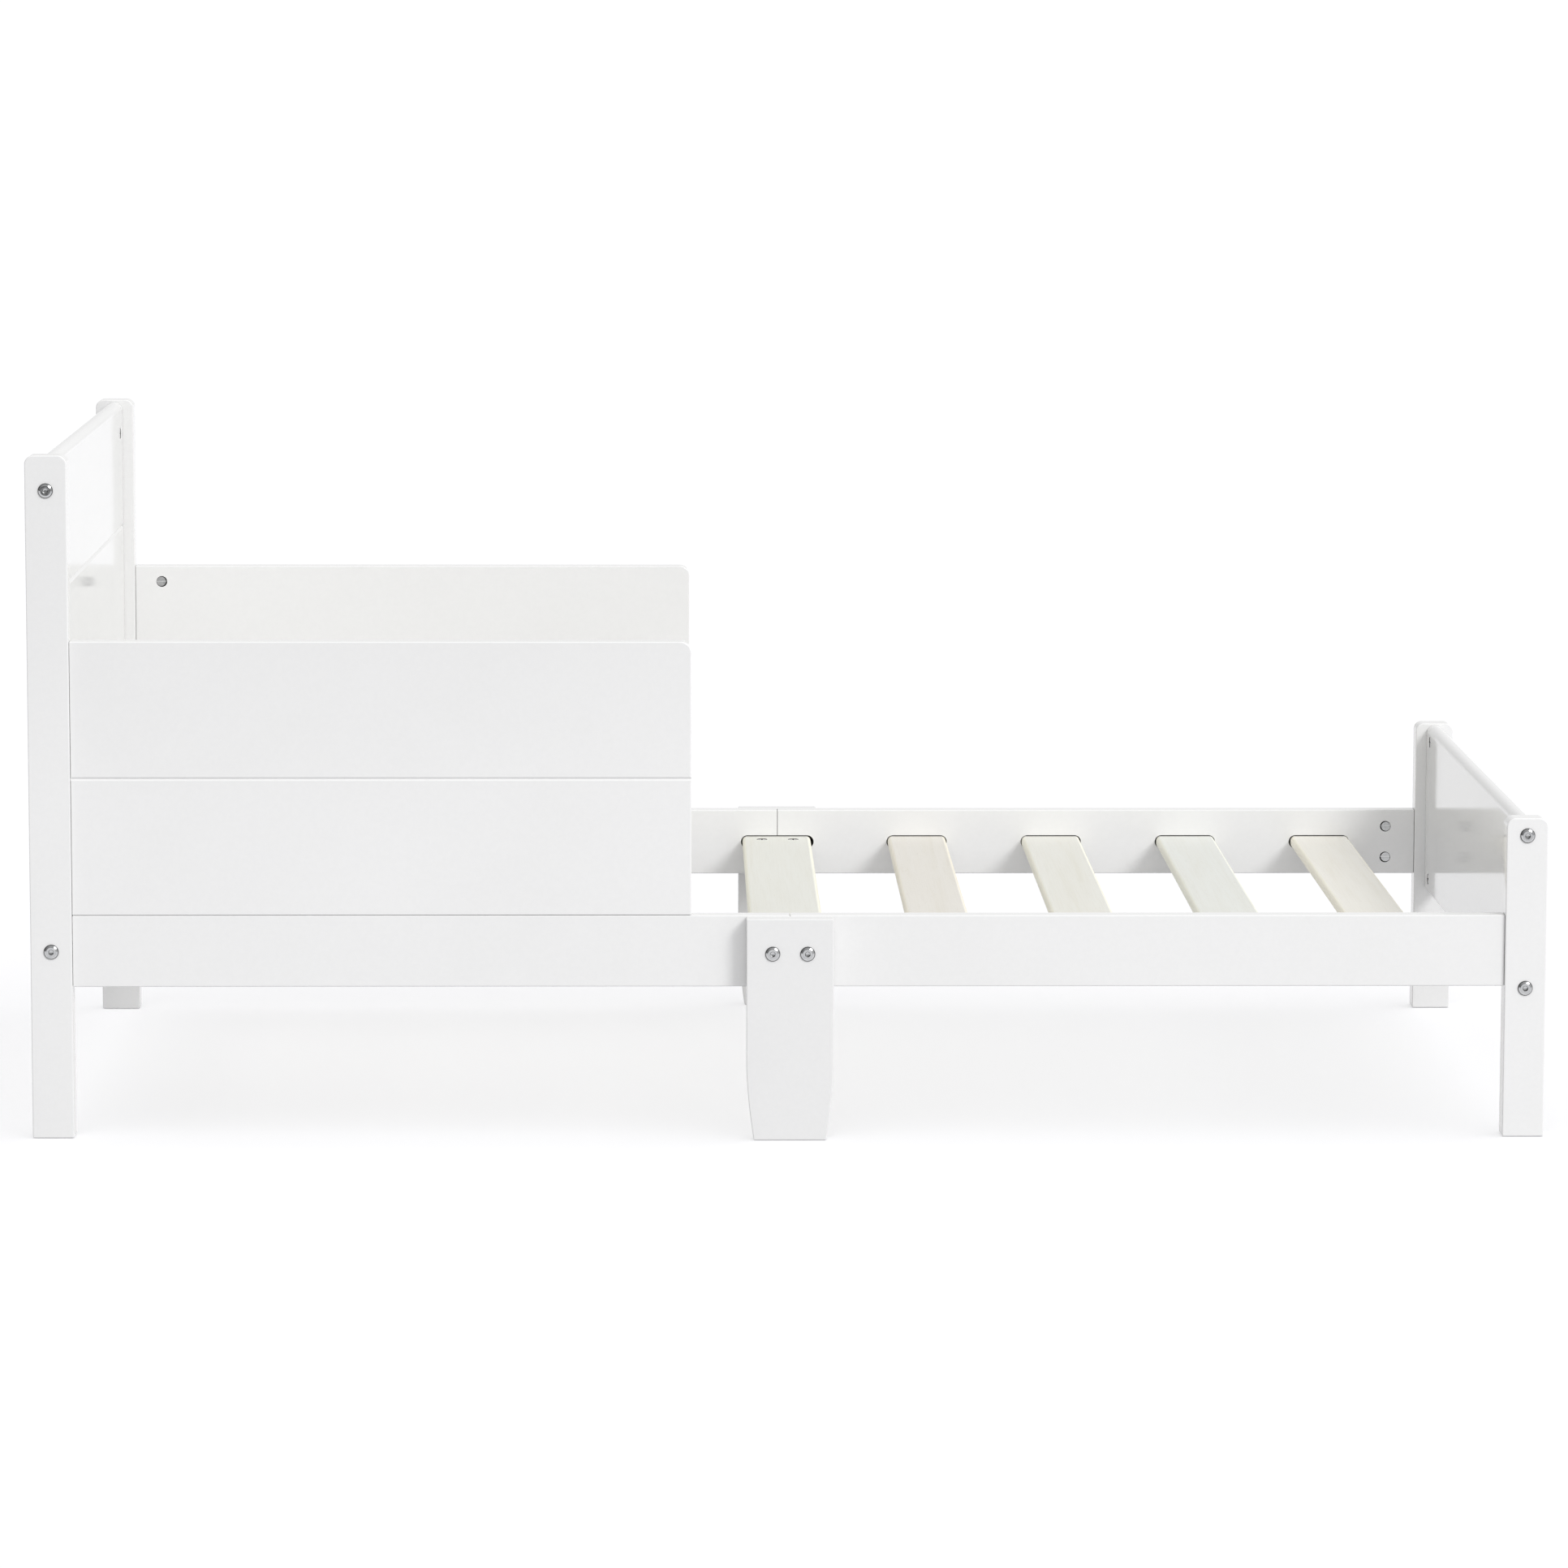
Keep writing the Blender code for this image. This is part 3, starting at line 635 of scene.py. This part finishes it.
# ---------------------------------------------------------------------- slats
def slat_outline(a0, a1, b0, b1):
    """Rounded long edges that meet the two flat faces in a faint arris."""
    r, k = SLAT_EDGE_R, SLAT_ARRIS
    rise = r * math.cos(math.radians(k))
    return (
        arc(a1 - r, b0 + rise, r, k - 90, 0, 9)
        + arc(a1 - r, b1 - rise, r, 0, 90 - k, 9)
        + arc(a0 + r, b1 - rise, r, 90 + k, 180, 9)
        + arc(a0 + r, b0 + rise, r, 180, 270 - k, 9)
    )


slats = ["slat_centre"] + [f"slat_{e}_{i}" for e in ("head", "foot") for i in range(1, 5)]
for number, node in enumerate(slats):
    low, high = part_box(node)
    outline = slat_outline(low[X], high[X], low[Z], high[Z])
    cuts = []
    if node == "slat_centre":
        bores, nuts = [], []
        for side, sign in SIDES:
            for which, x in zip("ab", LEG_BOLTS_X):
                y_nut = middle(f"leg_nut_{side}_{which}", Y) - sign * NUT_PULL
                bores.append(
                    bore_y(x, RAIL_MID_Z, sign * 0.38, y_nut - sign * 0.0095)
                )
                nuts.append(
                    (
                        "Z",
                        circle(x, y_nut, NUT_HOLE_R, 48),
                        low[Z] - 0.01,
                        high[Z] + 0.01,
                    )
                )
        cuts = [bores, nuts]
    mesh = shaped(
        prisms([("Y", outline, low[Y], high[Y])]), None, 3, cuts, None
    )
    tone = SLAT_TONES[node]
    finished(
        f"{node}_board",
        mesh,
        wood(f"poplar_{node}", tone, 3.7 * number + 1.0),
        "bare_wood",
        node,
        sharp=14,
    )


# ----------------------------------------------------------------- side rails
def pill(x, width):
    r = SLOT_H / 2
    return arc(x + width / 2 - r, RAIL_MID_Z, r, -90, 90, 20) + arc(
        x - width / 2 + r, RAIL_MID_Z, r, 90, 270, 20
    )


def half_rail(side, sign, end):
    node = f"side_rail_{side}_{end}"
    low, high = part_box(node)
    y_in = high[Y] if sign < 0 else low[Y]
    y_out = low[Y] if sign < 0 else high[Y]
    y_mid = (low[Y] + high[Y]) / 2
    towards = 1 if end == "foot" else -1
    outline = rounded_outline(low[Y], high[Y], low[Z], high[Z], RAIL_EDGE_R, 5)
    # The ends are eased: a ring a little inside, then the full section.
    e = END_EDGE_R

    def ring(x, shrink):
        section = rounded_outline(
            low[Y] + shrink,
            high[Y] - shrink,
            low[Z] + shrink,
            high[Z] - shrink,
            RAIL_EDGE_R - shrink,
            5,
        )
        return [(x, a, b) for a, b in section]

    loops = [
        ring(low[X], e),
        ring(low[X] + e * 0.3, e * 0.3),
        ring(low[X] + e, 0.0),
        ring(high[X] - e, 0.0),
        ring(high[X] - e * 0.3, e * 0.3),
        ring(high[X], e),
    ]
    mesh = rings(loops, "rail")
    slots = []
    for name in slats:
        s_low, s_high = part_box(name)
        x = (s_low[X] + s_high[X]) / 2 - SLAT_OFF_CENTRE.get(name, 0.0)
        if x * towards < -1e-6:
            continue
        play = CENTRE_SLOT_PLAY if name == "slat_centre" else SLOT_PLAY
        slots.append(
            (
                "Y",
                pill(x, s_high[X] - s_low[X] + play),
                y_in - sign * 0.01,
                y_in + sign * SLOT_DEPTH,
            )
        )
    x_nut = rail_nut_x(end)
    bores = [
        bore_x(y_mid, z, towards * 0.70, x_nut - towards * 0.0095)
        for z in RAIL_BOLTS_Z
    ]
    bores.append(
        bore_y(
            LEG_BOLTS_X[1] if end == "foot" else LEG_BOLTS_X[0],
            RAIL_MID_Z,
            y_out + sign * 0.01,
            y_in - sign * 0.01,
        )
    )
    nuts = [
        (
            "Y",
            circle(x_nut, z, NUT_HOLE_R, 48),
            y_in - sign * 0.01,
            y_mid + sign * 0.006,
        )
        for z in RAIL_BOLTS_Z
    ]
    mesh = shaped(mesh, None, 4, [slots, bores, nuts], None)
    finished(f"{node}_board", mesh, PAINTS["X"], "white_paint", node)


for side, sign in SIDES:
    for end in ("head", "foot"):
        half_rail(side, sign, end)


# ---------------------------------------------------------------- centre legs
LEG_FOOT_HALF = 0.0332
LEG_CURVE_TOP = 0.070


def leg(side, sign):
    node = f"centre_leg_{side}"
    low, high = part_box(node)
    half = (high[X] - low[X]) / 2
    x_mid = (low[X] + high[X]) / 2
    curve = []
    steps = 28
    for i in range(steps + 1):
        t = i / steps
        curve.append(
            (
                half - (half - LEG_FOOT_HALF) * (1 - t) ** 1.6,
                low[Z] + LEG_CURVE_TOP * t,
            )
        )
    right = curve + [(half, high[Z])]
    outline = [(x_mid + x, z) for x, z in right]
    outline += [(x_mid - x, z) for x, z in reversed(right)]
    cuts = [
        [bore_y(x, RAIL_MID_Z, low[Y] - 0.01, high[Y] + 0.01) for x in LEG_BOLTS_X]
    ]
    mesh = shaped(prisms([("Y", outline, low[Y], high[Y])]), LEG_EDGE_R, 5, cuts)
    finished(f"{node}_board", mesh, PAINTS["LEG"], "white_paint", node)


# --------------------------------------------------------------- guard panels
def guard(side, sign):
    node = f"guard_panel_{side}"
    low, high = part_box(node)
    r = GUARD_CORNER_R
    outline = (
        [(low[X], low[Z]), (high[X], low[Z])]
        + arc(high[X] - r, high[Z] - r, r, 0, 90, 14)
        + [(low[X], high[Z])]
    )
    z_groove = (low[Z] + high[Z]) / 2
    grooves = []
    for y, out in ((low[Y], -1), (high[Y], 1)):
        proud = 0.004
        w, d = GROOVE_W / 2, GROOVE_D
        profile = [
            (y - out * (d - 0.00008), z_groove),
            (y - out * (d - 0.00025), z_groove + 0.00026),
            (y, z_groove + w),
            (y + out * proud, z_groove + w * 1.35),
            (y + out * proud, z_groove - w * 1.35),
            (y, z_groove - w),
            (y - out * (d - 0.00025), z_groove - 0.00026),
        ]
        grooves.append(("X", profile, low[X] - 0.01, high[X] + 0.01))
    y_mid = (low[Y] + high[Y]) / 2
    y_in = high[Y] if sign < 0 else low[Y]
    x_nut = guard_nut_x()
    bores = [bore_x(y_mid, z, low[X] - 0.01, x_nut + 0.0095) for z in GUARD_BOLTS_Z]
    nuts = [
        (
            "Y",
            circle(x_nut, z, NUT_HOLE_R, 48),
            y_in - sign * 0.01,
            y_mid + sign * 0.006,
        )
        for z in GUARD_BOLTS_Z
    ]
    mesh = shaped(
        prisms([("Y", outline, low[Y], high[Y])]),
        GUARD_EDGE_R,
        5,
        [grooves, bores, nuts],
        painted=1,
    )
    finished(f"{node}_board", mesh, PAINTS["X"], "white_paint", node)


for side, sign in SIDES:
    leg(side, sign)
    guard(side, sign)


# ------------------------------------------------------------------ fasteners
def hex_radius(angle, apothem):
    return apothem / math.cos(math.radians((angle % 60) - 30))


def bolt_mesh(length, sides=72):
    """Flat-headed furniture bolt along +Y, the underside of its head at the origin:
    a thin rim, a wide chamfer, a flat face and a hexagon socket."""
    # Each row is (y, radius, painted shade): the underside and steep rim of the head get full painted
    # shade, the edge of the face some.
    profile = [
        (length, BOLT_R - 0.0006, 0.0),
        (length - 0.0006, BOLT_R - 0.0001, 0.0),
        (length - 0.0008, BOLT_R, 0.0),
        (0.00025, BOLT_R, 0.0),
        (0.0, BOLT_R + 0.00012, 1.0),
        (0.0, HEAD_R - 0.00012, 1.0),
        (-0.00012, HEAD_R, 1.0),
        (-0.00050, HEAD_R, 1.0),
        (-0.00072, HEAD_R - 0.00010, 1.0),
        (-0.00096, HEAD_R - 0.00032, 1.0),
        (-0.00116, HEAD_R - 0.00058, 1.0),
        (-0.00124, HEAD_R - 0.00072, 0.0),
        (-0.00158, HEAD_R - 0.00132, 0.0),
        (-0.00188, HEAD_FACE_R + 0.00024, 0.0),
        (-0.00200, HEAD_FACE_R + 0.00002, 0.0),
        (-0.00206, HEAD_FACE_R - 0.00010, 0.45),
        (-HEAD_H, HEAD_FACE_R - 0.00028, 0.0),
    ]
    loops = []
    painted_shade = []
    for y, radius, shade_level in profile:
        painted_shade += [shade_level] * sides
        loops.append([
            (
                radius * math.cos(math.radians(360 * i / sides)),
                y,
                radius * math.sin(math.radians(360 * i / sides)),
            )
            for i in range(sides)
        ])
    half = SOCKET / 2
    # The socket rows carry painted shade too, full on the socket walls.
    for y, apothem, blend, shade_level in (
        (-HEAD_H, half + 0.00050, 0.6, 0.0),
        (-HEAD_H + 0.00012, half + 0.00022, 0.3, 0.9),
        (-HEAD_H + 0.00040, half, 0.0, 1.0),
        (-HEAD_H + SOCKET_DEPTH, half, 0.0, 1.0),
        (-HEAD_H + SOCKET_DEPTH + 0.00005, half * 0.92, 0.1, 0.0),
        (-HEAD_H + SOCKET_DEPTH + 0.0006, half * 0.35, 1.0, 0.0),
    ):
        painted_shade += [shade_level] * sides
        loop = []
        for i in range(sides):
            angle = 360 * i / sides
            radius = hex_radius(angle, apothem) * (1 - blend) + apothem * 1.06 * blend
            loop.append(
                (
                    radius * math.cos(math.radians(angle)),
                    y,
                    radius * math.sin(math.radians(angle)),
                )
            )
        loops.append(loop)
    mesh = rings(loops, "bolt")
    # The painted shade is stored on the points, for the zinc material to darken.
    mesh.attributes.new("painted_shade", "FLOAT", "POINT").data.foreach_set("value", painted_shade)
    return mesh


def nut_mesh(front, back, sides=56):
    """Barrel nut along X with eased ends, a screwdriver slot along Y across its
    front face and a cross hole along Y for the bolt."""
    profile = [
        (-back, NUT_R - 0.0004),
        (-back + 0.0004, NUT_R),
        (front - 0.0003, NUT_R),
        (front - 0.00008, NUT_R - 0.0001),
        (front, NUT_R - 0.0003),
    ]
    loops = [[(x, *point) for point in circle(0, 0, r, sides)] for x, r in profile]
    slot = (
        "Y",
        [
            (front - 0.0011, -0.0006),
            (front + 0.002, -0.0006),
            (front + 0.002, 0.0006),
            (front - 0.0011, 0.0006),
        ],
        -0.02,
        0.02,
    )
    bore = ("Y", circle(0, 0, BOLT_R + 0.0003, 32), -0.02, 0.02)
    return shaped(rings(loops, "nut"), None, 3, [[slot], [bore]])


def placed(mesh, location, *turns):
    """A copy of the mesh turned by (axis, degrees) in turn and moved."""
    made = mesh.copy()
    matrix = Matrix.Identity(4)
    for axis, angle in turns:
        matrix = Matrix.Rotation(math.radians(angle), 4, axis) @ matrix
    made.transform(Matrix.Translation(location) @ matrix)
    return made


def bolt_length(node, axis):
    low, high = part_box(node)
    return high[axis] - low[axis] - HEAD_H


panel_bolt = bolt_mesh(bolt_length("headboard_bolt_near_upper", Y))
leg_bolt = bolt_mesh(bolt_length("leg_bolt_near_a", Y))
rail_bolt = bolt_mesh(bolt_length("rail_bolt_near_head_lower", X))
guard_bolt = bolt_mesh(bolt_length("guard_bolt_near_upper", X))
panel_half = (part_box("headboard_panel")[1][X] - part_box("headboard_panel")[0][X]) / 2
rail_half = (rail_high[Y] - rail_low[Y]) / 2
slat_floor, slat_top = (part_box("slat_centre")[i][Z] for i in (0, 1))
panel_nut = nut_mesh(panel_half - NUT_BELOW, 0.0050)
rail_nut = nut_mesh(rail_half - NUT_BELOW, 0.0054)
leg_nut = nut_mesh(
    slat_top - RAIL_MID_Z - NUT_BELOW, RAIL_MID_Z - slat_floor - NUT_BELOW
)

# Each bolt was tightened to its own angle, and each barrel hangs a little off the
# middle of its hole.
SPIN = (11, 43, 27, 5, 52, 33, 19, 48, 2, 38)
LEAN = (0.00012, -0.00010, 0.00008, -0.00006)
count = 0


def spin():
    global count
    count += 1
    return SPIN[count % len(SPIN)]


def zinc_bolt(name, mesh, location, node, *turns):
    made = placed(mesh, location, ("Y", spin()), *turns)
    return finished(name, made, ZINC, "zinc_hardware", node, sharp=40)


def zinc_nut(name, mesh, location, node, *turns):
    made = placed(mesh, location, *turns)
    # The slot and cross-hole faces take the lighter zinc: painted highlight.
    return finished(
        name, made, ZINC_DARK, "zinc_hardware", node, sharp=40, inner=ZINC_SLOT_LIGHT
    )


for side, sign in SIDES:
    turn = ("Z", 0 if sign < 0 else 180)
    for end, inward in (("head", 1), ("foot", -1)):
        for level, z in zip(("upper", "lower"), BOLTS_Z[end]):
            node = f"{end}board_bolt_{side}_{level}"
            low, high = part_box(node)
            y = low[Y] + HEAD_H if sign < 0 else high[Y] - HEAD_H
            zinc_bolt(f"{node}_zinc", panel_bolt, (middle(node, X), y, z), node, turn)
            node = f"{end}board_nut_{side}_{level}"
            x_panel = middle(f"{end}board_panel", X)
            zinc_nut(
                f"{node}_zinc",
                panel_nut,
                (x_panel, middle(node, Y), z - 0.00010),
                node,
                ("Z", 0 if inward > 0 else 180),
            )
    for which in "ab":
        node = f"leg_bolt_{side}_{which}"
        low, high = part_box(node)
        y = low[Y] + HEAD_H if sign < 0 else high[Y] - HEAD_H
        zinc_bolt(f"{node}_zinc", leg_bolt, (middle(node, X), y, RAIL_MID_Z), node, turn)
        node = f"leg_nut_{side}_{which}"
        zinc_nut(
            f"{node}_zinc",
            leg_nut,
            (middle(node, X), middle(node, Y), RAIL_MID_Z),
            node,
            ("Y", -90),
        )
    y = middle(f"side_rail_{side}_foot", Y)
    for end, towards in (("head", -1), ("foot", 1)):
        for index, (level, z) in enumerate(zip(("lower", "upper"), RAIL_BOLTS_Z)):
            node = f"rail_bolt_{side}_{end}_{level}"
            low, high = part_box(node)
            x = low[X] + HEAD_H if towards < 0 else high[X] - HEAD_H
            zinc_bolt(
                f"{node}_screw",
                rail_bolt,
                (x, y, z),
                node,
                ("Z", -90 if towards < 0 else 90),
            )
            zinc_nut(
                f"{node}_barrel",
                rail_nut,
                (rail_nut_x(end) + towards * NUT_PULL, y, z + LEAN[index]),
                node,
                ("Z", 90 if sign < 0 else -90),
            )
    for index, (level, z) in enumerate(zip(("upper", "lower"), GUARD_BOLTS_Z)):
        node = f"guard_bolt_{side}_{level}"
        low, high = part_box(node)
        zinc_bolt(
            f"{node}_screw", guard_bolt, (low[X] + HEAD_H, y, z), node, ("Z", -90)
        )
        zinc_nut(
            f"{node}_barrel",
            rail_nut,
            (guard_nut_x() - NUT_PULL, y, z + LEAN[2 + index]),
            node,
            ("Z", 90 if sign < 0 else -90),
        )

# -------------------------------------------------------------------- the floor
floor_mesh = bpy.data.meshes.new("floor")
reach = 60.0
floor_mesh.from_pydata(
    [(-reach, -reach, 0), (reach, -reach, 0), (reach, reach, 0), (-reach, reach, 0)],
    [],
    [(0, 1, 2, 3)],
)
floor = bpy.data.objects.new("floor", floor_mesh)
collection.objects.link(floor)
floor.location = (0, 0, -0.0004)
floor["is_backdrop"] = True
floor_material = bpy.data.materials.new("floor")
floor_material.use_nodes = True
floor_material.cycles.emission_sampling = "NONE"
floor_nodes, floor_links = floor_material.node_tree.nodes, floor_material.node_tree.links
floor_nodes.clear()
matt = floor_nodes.new("ShaderNodeBsdfDiffuse")
matt.inputs["Color"].default_value = (0.79, 0.79, 0.81, 1.0)
# Lit from below as well, like a white acrylic table, but the boards get no light
# from that.
glow = floor_nodes.new("ShaderNodeEmission")
glow.inputs["Strength"].default_value = 0.43
ray = floor_nodes.new("ShaderNodeLightPath")
dim = floor_nodes.new("ShaderNodeMath")
dim.operation = "SUBTRACT"
dim.inputs[0].default_value = 1.0
floor_links.new(ray.outputs["Is Diffuse Ray"], dim.inputs[1])
strength = floor_nodes.new("ShaderNodeMath")
strength.operation = "MULTIPLY"
strength.inputs[1].default_value = 0.43
floor_links.new(dim.outputs[0], strength.inputs[0])
floor_links.new(strength.outputs[0], glow.inputs["Strength"])
both = floor_nodes.new("ShaderNodeAddShader")
floor_links.new(matt.outputs[0], both.inputs[0])
floor_links.new(glow.outputs[0], both.inputs[1])
# Mirror images see the lit floor end some metres in front of the bed.
place = floor_nodes.new("ShaderNodeTexCoord")
split = floor_nodes.new("ShaderNodeSeparateXYZ")
floor_links.new(place.outputs["Object"], split.inputs[0])
fade = floor_nodes.new("ShaderNodeMapRange")
fade.interpolation_type = "SMOOTHSTEP"
fade.inputs["From Min"].default_value = -2.2
fade.inputs["From Max"].default_value = -5.5
fade.inputs["To Min"].default_value = 0.0
fade.inputs["To Max"].default_value = 0.85
floor_links.new(split.outputs["Y"], fade.inputs["Value"])
seen = floor_nodes.new("ShaderNodeMath")
seen.operation = "MULTIPLY"
floor_links.new(fade.outputs["Result"], seen.inputs[0])
floor_links.new(ray.outputs["Is Glossy Ray"], seen.inputs[1])
unlit = floor_nodes.new("ShaderNodeEmission")
unlit.inputs["Strength"].default_value = 0.0
ending = floor_nodes.new("ShaderNodeMixShader")
floor_links.new(seen.outputs[0], ending.inputs[0])
floor_links.new(both.outputs[0], ending.inputs[1])
floor_links.new(unlit.outputs[0], ending.inputs[2])
floor_output = floor_nodes.new("ShaderNodeOutputMaterial")
floor_links.new(ending.outputs[0], floor_output.inputs["Surface"])
floor_mesh.materials.append(floor_material)

# ------------------------------------------------------------------- the camera
camera_data = bpy.data.cameras.new("camera")
camera_data.sensor_fit = "HORIZONTAL"
camera_data.sensor_width = 36.0
camera_data.lens = 147.52
camera_data.clip_start = 0.1
camera_data.clip_end = 500.0
camera = bpy.data.objects.new("camera", camera_data)
collection.objects.link(camera)
yaw, pitch, roll = -0.0172, 0.1288, 0.0020
forward = Vector(
    (-math.sin(yaw) * math.cos(pitch), math.cos(yaw) * math.cos(pitch), -math.sin(pitch))
)
right = Vector((math.cos(yaw), math.sin(yaw), 0.0))
up = right.cross(forward)
right, up = (
    right * math.cos(roll) + up * math.sin(roll),
    -right * math.sin(roll) + up * math.cos(roll),
)
turned = Matrix((right, up, -forward)).transposed().to_4x4()
camera.matrix_world = Matrix.Translation((-0.1059, -6.1978, 1.0819)) @ turned
scene.camera = camera

# -------------------------------------------------------------------- the light
# A studio with white surroundings. The walls light the boards by direction: most
# from above and from the right (foot end), least from the left. Mirror images in
# the lacquer and the zinc see their own brightness of each wall.
world = bpy.data.worlds.new("studio")
scene.world = world
world.use_nodes = True
world.cycles.sampling_method = "NONE"
nodes, links = world.node_tree.nodes, world.node_tree.links
nodes.clear()
direction = nodes.new("ShaderNodeTexCoord").outputs["Generated"]


def maths(operation, a, b):
    made = nodes.new("ShaderNodeMath")
    made.operation = operation
    for socket, value in zip(made.inputs, (a, b)):
        if isinstance(value, (int, float)):
            socket.default_value = value
        else:
            links.new(value, socket)
    return made.outputs[0]


def walls(lobes, base=0.0):
    """Brightness by direction: each lobe is (axis, brightness, power) and fades
    with a power of the cosine to its axis."""
    total = base
    for axis, brightness, power in lobes:
        dot = nodes.new("ShaderNodeVectorMath")
        dot.operation = "DOT_PRODUCT"
        dot.inputs[1].default_value = Vector(axis).normalized()
        links.new(direction, dot.inputs[0])
        facing = maths("MAXIMUM", dot.outputs["Value"], 0.0)
        lobe = maths("MULTIPLY", maths("POWER", facing, power), brightness)
        total = maths("ADD", lobe, total)
    background = nodes.new("ShaderNodeBackground")
    background.inputs["Color"].default_value = (1.0, 1.0, 1.0, 1.0)
    links.new(total, background.inputs["Strength"])
    return background.outputs[0]


for_boards = walls(
    (
        ((1, 0, 0), 1.02, 2),
        ((-1, 0, 0), 0.40, 2),
        ((0, -1, 0), 0.800, 2),
        ((0, 0, 1), 0.967, 2),
    )
)
for_mirrors = walls(
    (
        ((0, 1, 0), 0.80, 1),
        ((1, 0, 0), 0.55, 2),
        ((0, 0, 1), 0.55, 2),
        ((0, -1, 0), 0.25, 1),
    ),
    0.04,
)
for_camera = nodes.new("ShaderNodeBackground")
for_camera.inputs["Color"].default_value = (1.0, 1.0, 1.0, 1.0)
for_camera.inputs["Strength"].default_value = 1.05
path = nodes.new("ShaderNodeLightPath")
reflected = nodes.new("ShaderNodeMixShader")
links.new(path.outputs["Is Glossy Ray"], reflected.inputs[0])
links.new(for_boards, reflected.inputs[1])
links.new(for_mirrors, reflected.inputs[2])
direct = nodes.new("ShaderNodeMixShader")
links.new(path.outputs["Is Camera Ray"], direct.inputs[0])
links.new(reflected.outputs[0], direct.inputs[1])
links.new(for_camera.outputs[0], direct.inputs[2])
output = nodes.new("ShaderNodeOutputWorld")
links.new(direct.outputs[0], output.inputs["Surface"])

# The key: a round softbox 12 m away, to the right of the camera and above it. It
# lights the bed only, so that the floor keeps the even shadow of the wide lights.
bed = bpy.data.collections.new("bed")
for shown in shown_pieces():
    bed.objects.link(shown)
key_data = bpy.data.lights.new("key", "AREA")
key_data.shape = "DISK"
key_distance = 12.0
key_data.size = 2 * key_distance * math.tan(math.radians(10))
key_data.energy = 0.445 * math.pi**2 * key_distance**2
key = bpy.data.objects.new("key", key_data)
collection.objects.link(key)
azimuth, height = math.radians(40), math.radians(35)
aim = Vector(
    (
        math.sin(azimuth) * math.cos(height),
        -math.cos(azimuth) * math.cos(height),
        math.sin(height),
    )
)
key.location = aim * key_distance + Vector((0, 0, 0.25))
key.rotation_euler = (-aim).to_track_quat("-Z", "Y").to_euler()
key.light_linking.receiver_collection = bed

scene.view_settings.view_transform = "Standard"
scene.view_settings.look = "None"
scene.view_settings.exposure = 0.0
scene.view_settings.gamma = 1.0
